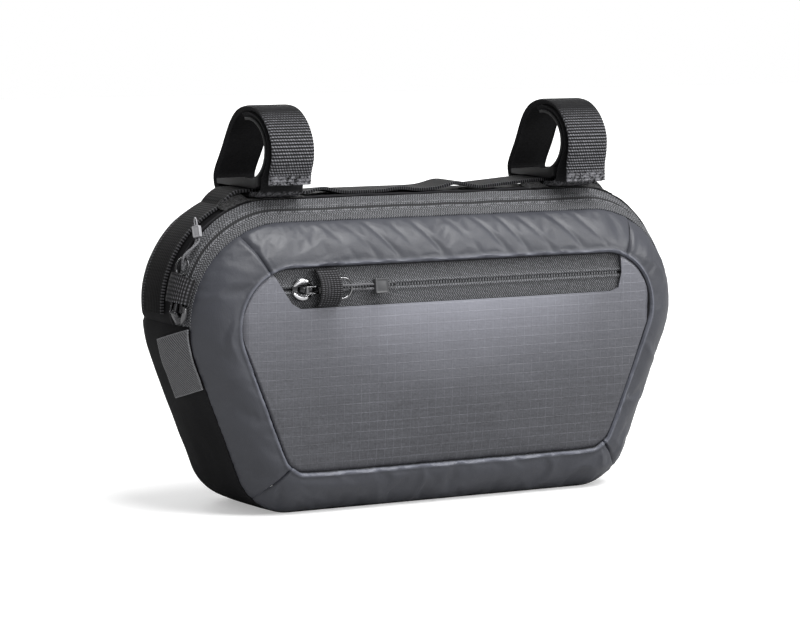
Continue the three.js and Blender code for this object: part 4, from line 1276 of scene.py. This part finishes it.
def strap_points(free_end, stand_off, rear):
    """Middle line of a strap: free end, over the bar, down behind, under the webbing, up inside."""
    rear = rear * BAR_DEPTH - STRAP
    drop = free_end * BAR_HEIGHT
    off = OUTER_LAYER + stand_off * STRAP
    behind = BAR_Y + BAR_DEPTH / 2
    return [
        (0.0, round_bar(215, 0)[1] + drop / 4 - off, BAR_Z - BAR_HEIGHT / 2 + drop),
        round_bar(208, off + 0.55 * STRAP),
        *[round_bar(degrees, OUTER_LAYER + play * STRAP) for degrees, play in OUTER_TURN],
        (0.0, lerp(behind, rear, 0.62), BAR_Z - 0.1 * BAR_HEIGHT),
        (0.0, lerp(behind, rear, 0.93), BAR_Z - 0.42 * BAR_HEIGHT),
        (0.0, rear, PAD_LOW + 1.5 * STRAP),
        (0.0, rear - 0.8 * STRAP, BASE_RUN + 0.5 * STRAP),
        (0.0, rear - 3.5 * STRAP, BASE_RUN),
        (0.0, BAR_Y + 0.4 * BAR_DEPTH, BASE_RUN),
        (0.0, BAR_Y, BASE_RUN),
        (0.0, BAR_Y - 0.16 * BAR_DEPTH, BASE_RUN + 0.4 * PIPING),
        (0.0, BAR_Y - 0.36 * BAR_DEPTH, BASE_RUN + 1.6 * PIPING),
        *[round_bar(degrees, INNER_LAYER + play * STRAP) for degrees, play in INNER_TURN],
    ]


class BAG_OT_webbing(bpy.types.Operator):
    """Carrying webbing along the top, with its loops"""

    bl_idname = "bag.webbing"
    bl_label = "Webbing"

    def execute(self, context):
        low, high = WEBBING_DEPTH - WEBBING_WIDTH / 2, WEBBING_DEPTH + WEBBING_WIDTH / 2

        def surface(u, t):
            rib = 0.00004 * math.sin(math.tau * u / WEBBING_RIB)
            lift = webbing_lift(u, (t - low) / (high - low))
            return body_point(u, t, 2 * GAP + WEBBING + lift + rib)

        columns = even(-AT_SIDE + WEBBING_END, AT_SIDE - WEBBING_END, 0.0004)
        piece = cloth("webbing_band", columns, spread(low, high, 8), surface)
        sew(piece, WEBBING, webbing_cloth(WEBBING_RIB, low, high), "webbing", "carry_webbing")
        for name, start, end in HOOK_PATCHES:
            self.patch(name, start, end)
        return {"FINISHED"}

    def patch(self, name, start, end):
        """Fuzzy patch between the zip and the webbing, under a strap."""
        near, far = ZIP_DEPTH + GAP, WEBBING_DEPTH - 0.4 * WEBBING_WIDTH

        def surface(u, t):
            rise = clamp((t - near) / (far - near))
            tufts = two_noises((u * 900, t * 900, 2), 1, (u * 300, t * 300, 6))
            beside = clamp((abs(abs(u) - STRAP_PLACE) - STRAP_WIDTH / 2) / 0.0012)
            ends = hump(u - start, 0.0015) + hump(u - end, 0.0015)
            lift = (0.0004 + PATCH_RISE * rise**1.4) * (1 - 0.6 * ends) + 0.0003 * tufts
            return body_point(u, t, 0.0006 + beside * lift)

        piece = cloth(name, even(start, end, 0.0006), even(near, far, 0.0006), surface)
        sew(piece, 0.0004, fuzzy(), "webbing", angle=80)


class BAG_OT_straps(bpy.types.Operator):
    """Hook-and-loop straps and the rubber pads under the bar"""

    bl_idname = "bag.straps"
    bl_label = "Straps"

    def execute(self, context):
        for name, row in STRAPS.items():
            self.strap(name, row)
            self.pad(name, row)
        return {"FINISHED"}

    def strap(self, name, row):
        side, free_end, stand_off, rear, _ = row
        pitch = sizes().rib
        line, marks = smooth_line(strap_points(free_end, stand_off, rear), pitch / 5)
        foot = [
            mark for mark, place in zip(marks, line)
            if mark > 2 * BAR_HEIGHT and place.z < BASE_RUN + 1.4 * STRAP and place.y < BAR_Y
        ]
        middle = side * STRAP_PLACE
        index = {mark: k for k, mark in enumerate(marks)}
        ribbed = 0.034

        def surface(mark, across):
            k = index[mark]
            along = direction(line, k)
            outward = Vector((0, -along.z, along.y))
            share = clamp((ribbed - mark) / 0.006) * 0.85 + 0.15
            rib = 0.00018 * share * math.sin(math.tau * mark / pitch)
            rim = hump(across + STRAP_WIDTH / 2, 0.0006) + hump(across - STRAP_WIDTH / 2, 0.0006)
            point = line[k] + outward * (STRAP / 2 + rib - 0.0005 * rim)
            point.x = middle + across
            if foot[0] < mark < foot[-1]:
                point += outward * 0.0003 * noise.noise(Vector((across * 900, mark * 900, 2)))
            return point

        half = STRAP_WIDTH / 2
        rows = sorted(spread(-half, half, 12) + [-half + 0.0005, half - 0.0005])
        piece = cloth("strap_band_" + name, marks, rows, surface, (middle, BAR_Y, BAR_Z))
        material = strap_cloth("strap_cloth_" + name, pitch, foot[0], foot[-1])
        sew(piece, STRAP, material, "webbing", "strap_" + name)

    def pad(self, name, row):
        """Copy of the frame's pad with finer rounding."""
        node = frame["nodes"]["bar_pad_" + name]
        deselect()
        copy = node.copy()
        copy.data = node.data.copy()
        copy.parent = None
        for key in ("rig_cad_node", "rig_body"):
            if key in copy:
                del copy[key]
        bpy.context.scene.collection.objects.link(copy)
        copy.name = "bar_rest_" + name
        activate(copy)
        bpy.ops.object.mode_set(mode="EDIT")
        bpy.ops.mesh.select_all(action="SELECT")
        bpy.ops.mesh.remove_doubles(threshold=0.00001)
        bpy.ops.mesh.dissolve_limited(angle_limit=math.radians(1))
        bpy.ops.object.mode_set(mode="OBJECT")
        modify(copy, "BEVEL", width=0.0003, segments=2, limit_method="ANGLE", angle_limit=math.radians(50))
        smooth(copy, 35)
        settle(copy, rubber(), "rubber", "bar_pad_" + name)


class BAG_OT_cords(bpy.types.Operator):
    """The two pull cords, looped from their moulded ends through the rings"""

    bl_idname = "bag.cords"
    bl_label = "Pull cords"

    def execute(self, context):
        for name, points in (("pocket", POCKET_CORD), ("main", MAIN_CORD)):
            line, marks = smooth_line(points, 0.0004)
            curve = bpy.data.curves.new(name + "_cord", "CURVE")
            curve.dimensions = "3D"
            curve.bevel_depth = PULL_CORD / 2
            curve.bevel_resolution = 3
            curve.use_fill_caps = True
            spline = curve.splines.new("POLY")
            spline.points.add(len(line) - 1)
            for point, place in zip(spline.points, line):
                point.co = (*place, 1)
            piece = bpy.data.objects.new(name + "_cord", curve)
            bpy.context.scene.collection.objects.link(piece)
            activate(piece)
            bpy.ops.object.convert(target="MESH")
            piece = bpy.context.object
            mark_tube(piece, line, marks)
            smooth(piece, 60)
            settle(piece, cord_cloth(), "cord", name + "_pull_cord")
            length = sum((b - a).length for a, b in zip(line, line[1:]))
            [tuple(p) for p in line]
        return {"FINISHED"}


# Zip sliders, their pulls and the bands over them
SLIDER_INSET = 0.0094
SLIDER_LENGTH = 0.0112
SLIDER_WIDTH = 0.009
SLIDER_HEIGHT = 0.0026
PULL_WIRE = 0.00065
POCKET_RING = 0.0046
POCKET_PLATE = 0.0142
POCKET_TILT = math.radians(3)
MAIN_RING = 0.004
MAIN_PLATE = 0.0164
MAIN_TILT = math.radians(11)
PLATE_LIFT = SLIDER_HEIGHT + 3 * PULL_WIRE
PULL_END = 0.0066
GARAGE_WIDTH = 0.0106
GARAGE_RISE = 0.0064
GARAGE_LAP = 0.002
LABEL = 0.0008
LABEL_LONG = 0.028
LABEL_WIDE = 0.026


def seat_at(place, along, outward):
    """Matrix of a seat whose X runs along and whose Z stands outward."""
    z = outward.normalized()
    x = (along - z * along.dot(z)).normalized()
    return Matrix.Translation(place) @ Matrix((x, z.cross(x), z)).transposed().to_4x4()


def pocket_seat():
    x = -WINDOW_LEFT + SLIDER_INSET
    place = Vector((x, POCKET_Y - pocket_swell(x, POCKET_TEETH) + CLOTH, POCKET_TEETH))
    return seat_at(place, Vector((1, 0, 0)), Vector((0, -1, 0)))


def main_seat():
    u = -AT_SIDE + SLIDER_LENGTH / 2 + 2 * GAP
    middle, half = ZIP_DEPTH / 2, SLIDER_LENGTH / 2
    along = body_point(u + half, middle) - body_point(u - half, middle)
    across = body_point(u, ZIP_DEPTH) - body_point(u, 0)
    return seat_at(body_point(u, middle, 2 * GAP), along, along.cross(across))


def garage_arch(share):
    """Rise of a band over its pull, at a share of the way across."""
    return GARAGE_RISE * math.sin(math.pi * clamp(share, 0.001, 0.999)) ** 0.5


class BAG_OT_pulls(bpy.types.Operator):
    """Sliders, rings, moulded ends and the webbing bands over the pulls"""

    bl_idname = "bag.pulls"
    bl_label = "Zip pulls"

    def execute(self, context):
        shiny = slider_metal("slider_metal", 1.0)
        nickel = slider_metal("slider_nickel", 0.22)
        bright = slider_metal("pull_nickel", 0.3)
        for name, seat, plate, ring, tilt, polish, wire in (
            ("pocket", pocket_seat(), POCKET_PLATE, POCKET_RING, POCKET_TILT, shiny, bright),
            ("main", main_seat(), MAIN_PLATE, MAIN_RING, MAIN_TILT, nickel, wire_metal()),
        ):
            slider = self.slider(name + "_zip_slider")
            slider.data.transform(seat)
            settle(slider, wire_metal(), "dark_metal", name + "_slider")
            wings = join(self.wings(), name + "_zip_wings")
            smooth(wings, 60)
            wings.data.transform(seat)
            settle(wings, polish, "dark_metal")
            pull = self.pull(name + "_zip_pull", plate, ring)
            lift = Matrix.Translation((0, 0, PLATE_LIFT)) @ Matrix.Rotation(tilt, 4, "Y")
            pull.data.transform(seat @ lift)
            settle(pull, wire, "dark_metal", name + "_pull_ring")
        self.end("pocket", POCKET_CORD, (1, 0, 0.01), (0, -1, 0.12), 1.0)
        self.end("main", MAIN_CORD, (0.26, 0.45, 0.86), (-1, -0.6, 0.2), 0.7)
        self.garages()
        return {"FINISHED"}

    def slider(self, name):
        """Dark slider plate with a groove down its middle and a bridge for its pull."""

        def plate(x, y, z):
            wide = 0.58 * SLIDER_WIDTH * (1 - 0.18 * clamp(x) ** 2)
            high = SLIDER_HEIGHT * (0.25 + 0.4 * z**0.8) if z > 0 else SLIDER_HEIGHT * 0.25 * (1 + z)
            groove = 0.35 * SLIDER_HEIGHT * hump(y * wide, 0.0012) * clamp(z * 3)
            return x * SLIDER_LENGTH / 2, y * wide, high - groove

        def arch(x, y, z):
            return x + 0.0018, y * 1.3, 0.62 * SLIDER_HEIGHT + z * 0.56

        body = ball(56, 36, plate)
        bridge = reshape(torus(40, 14, 0.0034, 0.0009, rotation=(math.pi / 2, 0, 0)), arch)
        piece = join([body, bridge], name)
        smooth(piece, 45)
        return piece

    def wings(self):
        """The slider's two polished wings, one on each side of its groove."""
        pieces = []
        for side in (-1, 1):

            def place(x, y, z):
                bow = 0.41 * SLIDER_WIDTH * (1 - 0.55 * x * x)
                spread_out = 0.145 * SLIDER_WIDTH * y * (1 - 0.2 * x)
                high = SLIDER_HEIGHT * (0.42 + 0.44 * z) * (1 - 0.25 * x * x)
                return x * 0.46 * SLIDER_LENGTH + 0.0002, side * (bow + spread_out), high

            wing = ball(40, 24, place)
            if side < 0:
                wing.data.flip_normals()
            pieces.append(wing)
        return pieces

    def pull(self, name, length, radius):
        """Flat pull plate, hooked under the bridge, with the wire ring at its far end."""
        wide = 0.2 * SLIDER_WIDTH
        hook = SLIDER_LENGTH / 2 + PULL_WIRE
        bars = [
            (-PULL_WIRE, PULL_WIRE, -wide, wide),
            (PULL_WIRE, hook, -wide, -0.62 * wide),
            (PULL_WIRE, hook, 0.62 * wide, wide),
            (hook, length + PULL_WIRE, -wide, wide),
        ]
        pieces = []
        for x0, x1, y0, y1 in bars:
            bar = box(((x0 + x1) / 2, (y0 + y1) / 2, 0), (x1 - x0, y1 - y0, 2 * PULL_WIRE))
            modify(bar, "BEVEL", width=0.0003, segments=3)
            pieces.append(bar)
        ring = torus(56, 14, radius, 0.9 * PULL_WIRE, location=(length + radius, 0, 0))
        piece = join([ring, *pieces], name)
        smooth(piece, 45)
        return piece

    def end(self, name, cord, along, outward, slim):
        """Moulded end of a pull, with a plain recessed face and the cord's tail loop."""
        along, outward = Vector(along), Vector(outward)
        place = Vector(cord[0]).lerp(Vector(cord[-1]), 0.5) + along * GAP / along.length
        seat = seat_at(place, along, outward)
        block = box((PULL_END / 2, 0, 0), (PULL_END, slim * PULL_END, PULL_END / 2))
        bpy.ops.object.mode_set(mode="EDIT")
        bpy.ops.mesh.select_mode(type="FACE")
        bpy.ops.mesh.select_all(action="DESELECT")
        bpy.ops.object.mode_set(mode="OBJECT")
        for face in block.data.polygons:
            face.select = face.normal.z > 0.9
        bpy.ops.object.mode_set(mode="EDIT")
        bpy.ops.mesh.inset(thickness=0.001)
        bpy.ops.transform.translate(value=(0, 0, -0.0006))
        bpy.ops.mesh.inset(thickness=0.001)
        bpy.ops.transform.translate(value=(0, 0, 0.0004))
        bpy.ops.object.mode_set(mode="OBJECT")
        modify(block, "BEVEL", width=0.0005, segments=4, limit_method="ANGLE", angle_limit=math.radians(40))
        tail = reshape(
            torus(48, 12, 0.38 * PULL_END, PULL_CORD / 2),
            lambda x, y, z: (1.32 * PULL_END + x, y * 0.45 * slim, z),
        )
        piece = join([block, tail], name + "_moulding")
        smooth(piece, 40)
        piece.data.transform(seat @ Matrix.Scale(lerp(1, slim, 0.75), 4))
        settle(piece, moulded_end(name), "moulded_end", name + "_pull_end")

    def garages(self):
        start = -WINDOW_LEFT + SLIDER_INSET + SLIDER_LENGTH / 2 + GAP

        def pocket(x, share):
            z = lerp(WINDOW_LOW + GAP, POCKET_TOP - GAP, share)
            y = POCKET_Y - pocket_swell(x, z) + CLOTH - LABEL - garage_arch(share)
            return Vector((x, y, z))

        low = -AT_SIDE + SLIDER_LENGTH + 2 * GAP - GARAGE_LAP

        def main_band(u, share):
            t = lerp(-GAP, ZIP_DEPTH + GAP, share)
            return body_point(u, clamp(t, GAP, ZIP_DEPTH), GAP + LABEL + garage_arch(t / ZIP_DEPTH))

        for node, begin, surface in (("pocket_garage", start, pocket), ("main_garage", low, main_band)):
            columns = spread(begin, begin + GARAGE_WIDTH, 14)
            piece = cloth(node + "_band", columns, spread(0, 1, 60), surface)
            for loop in piece.data.uv_layers.active.data:
                loop.uv = (loop.uv.y * 0.025, loop.uv.x)
            sew(piece, LABEL, band_cloth(), "webbing", node)


class BAG_OT_label(bpy.types.Operator):
    """Bare twill label on the left side"""

    bl_idname = "bag.label"
    bl_label = "Side label"

    def execute(self, context):
        def surface(down, back):
            u = -AT_SIDE - 2 * GAP - down - 0.25 * back
            curl = 0.0004 * noise.noise(Vector((down * 130, back * 130, 3)))
            return body_point(u, GAP + back, GAP + LABEL + LABEL * back / LABEL_WIDE + curl)

        rows = even(0, LABEL_WIDE, 0.0008)
        piece = cloth("side_label_cloth", even(0, LABEL_LONG, 0.0008), rows, surface)
        sew(piece, 0.8 * LABEL, twill(), "label", "side_label")
        return {"FINISHED"}


class BAG_OT_stage(bpy.types.Operator):
    """Pale floor and backdrop, and soft lights"""

    bl_idname = "bag.stage"
    bl_label = "Stage"

    def execute(self, context):
        self.floor()
        self.lights()
        return {"FINISHED"}

    def floor(self):
        deselect()
        bpy.ops.mesh.primitive_plane_add(size=6, location=(0, 0, 0))
        floor = bpy.context.object
        floor.name = "floor"
        finish = Finish("pale_floor", (0.8, 0.8, 0.8), 0.9)
        seen = Value(finish, finish.node("LightPath").outputs["Is Camera Ray"])
        finish.shade(seen, 0.55, 1.0)
        finish.shader.inputs["Emission Color"].default_value = (1, 1, 1, 1)
        finish.tree.links.new((seen * 0.35).socket, finish.shader.inputs["Emission Strength"])
        floor.data.materials.append(finish.material)

    def lights(self):
        world = bpy.data.worlds.new("studio")
        bpy.context.scene.world = world
        bpy.context.scene.view_settings.view_transform = "Standard"
        world.use_nodes = True
        tree = world.node_tree
        ground = tree.nodes["Background"]
        ground.inputs["Color"].default_value = (1, 1, 1, 1)
        seen = tree.nodes.new("ShaderNodeLightPath").outputs["Is Camera Ray"]
        strength = tree.nodes.new("ShaderNodeMapRange")
        strength.inputs["To Min"].default_value = 0.36
        strength.inputs["To Max"].default_value = 1.0
        tree.links.new(seen, strength.inputs["Value"])
        tree.links.new(strength.outputs[0], ground.inputs["Strength"])
        # Name, direction that the light comes from, strength and width in degrees
        lamps = [
            ("key", (0.2, -0.4, 1.0), 3.3, 35),
            ("front", (0.75, -0.65, 0.42), 1.3, 22),
            ("fill", (0.05, -1.0, 0.1), 0.5, 40),
            ("back", (0.25, 1.0, 0.3), 1.8, 40),
        ]
        for name, place, strength, width in lamps:
            data = bpy.data.lights.new(name, "SUN")
            data.energy = strength
            data.angle = math.radians(width)
            lamp = bpy.data.objects.new(name, data)
            lamp.location = place
            lamp.rotation_euler = Vector(place).to_track_quat("Z", "Y").to_euler()
            bpy.context.scene.collection.objects.link(lamp)


class BAG_OT_camera(bpy.types.Operator):
    """Camera at the photograph's angle"""

    bl_idname = "bag.camera"
    bl_label = "Camera"

    def execute(self, context):
        data = bpy.data.cameras.new("camera")
        data.lens = LENS
        data.sensor_width = SENSOR
        data.clip_start = 0.05
        data.clip_end = 20
        camera = bpy.data.objects.new("camera", data)
        turned = Matrix((CAMERA_RIGHT, CAMERA_UP, CAMERA_BACK)).transposed().to_4x4()
        camera.matrix_world = Matrix.Translation(CAMERA_PLACE) @ turned
        bpy.context.scene.collection.objects.link(camera)
        bpy.context.scene.camera = camera
        return {"FINISHED"}


STEPS = ("camera", "cords", "border", "pocket", "body", "webbing", "straps", "pulls", "label", "stage")


class BAG_PT_panel(bpy.types.Panel):
    """Lists the steps that make the bag, with their settings"""

    bl_idname = "BAG_PT_panel"
    bl_label = "Handlebar bag"
    bl_space_type = "VIEW_3D"
    bl_region_type = "UI"
    bl_category = "Bag"

    def draw(self, context):
        for group in (context.scene.bag_sizes, context.scene.bag_colours):
            for key in group.__annotations__:
                self.layout.prop(group, key)
        for step in STEPS:
            self.layout.operator("bag." + step)


CLASSES = (
    BagSizes,
    BagColours,
    BAG_OT_camera,
    BAG_OT_cords,
    BAG_OT_border,
    BAG_OT_pocket,
    BAG_OT_body,
    BAG_OT_webbing,
    BAG_OT_straps,
    BAG_OT_pulls,
    BAG_OT_label,
    BAG_OT_stage,
    BAG_PT_panel,
)


def register():
    for cls in CLASSES:
        bpy.utils.register_class(cls)
    bpy.types.Scene.bag_sizes = bpy.props.PointerProperty(type=BagSizes)
    bpy.types.Scene.bag_colours = bpy.props.PointerProperty(type=BagColours)


def unregister():
    del bpy.types.Scene.bag_sizes
    del bpy.types.Scene.bag_colours
    for cls in reversed(CLASSES):
        bpy.utils.unregister_class(cls)


def main():
    register()
    for step in STEPS:
        getattr(bpy.ops.bag, step)()


if __name__ == "__main__":
    main()
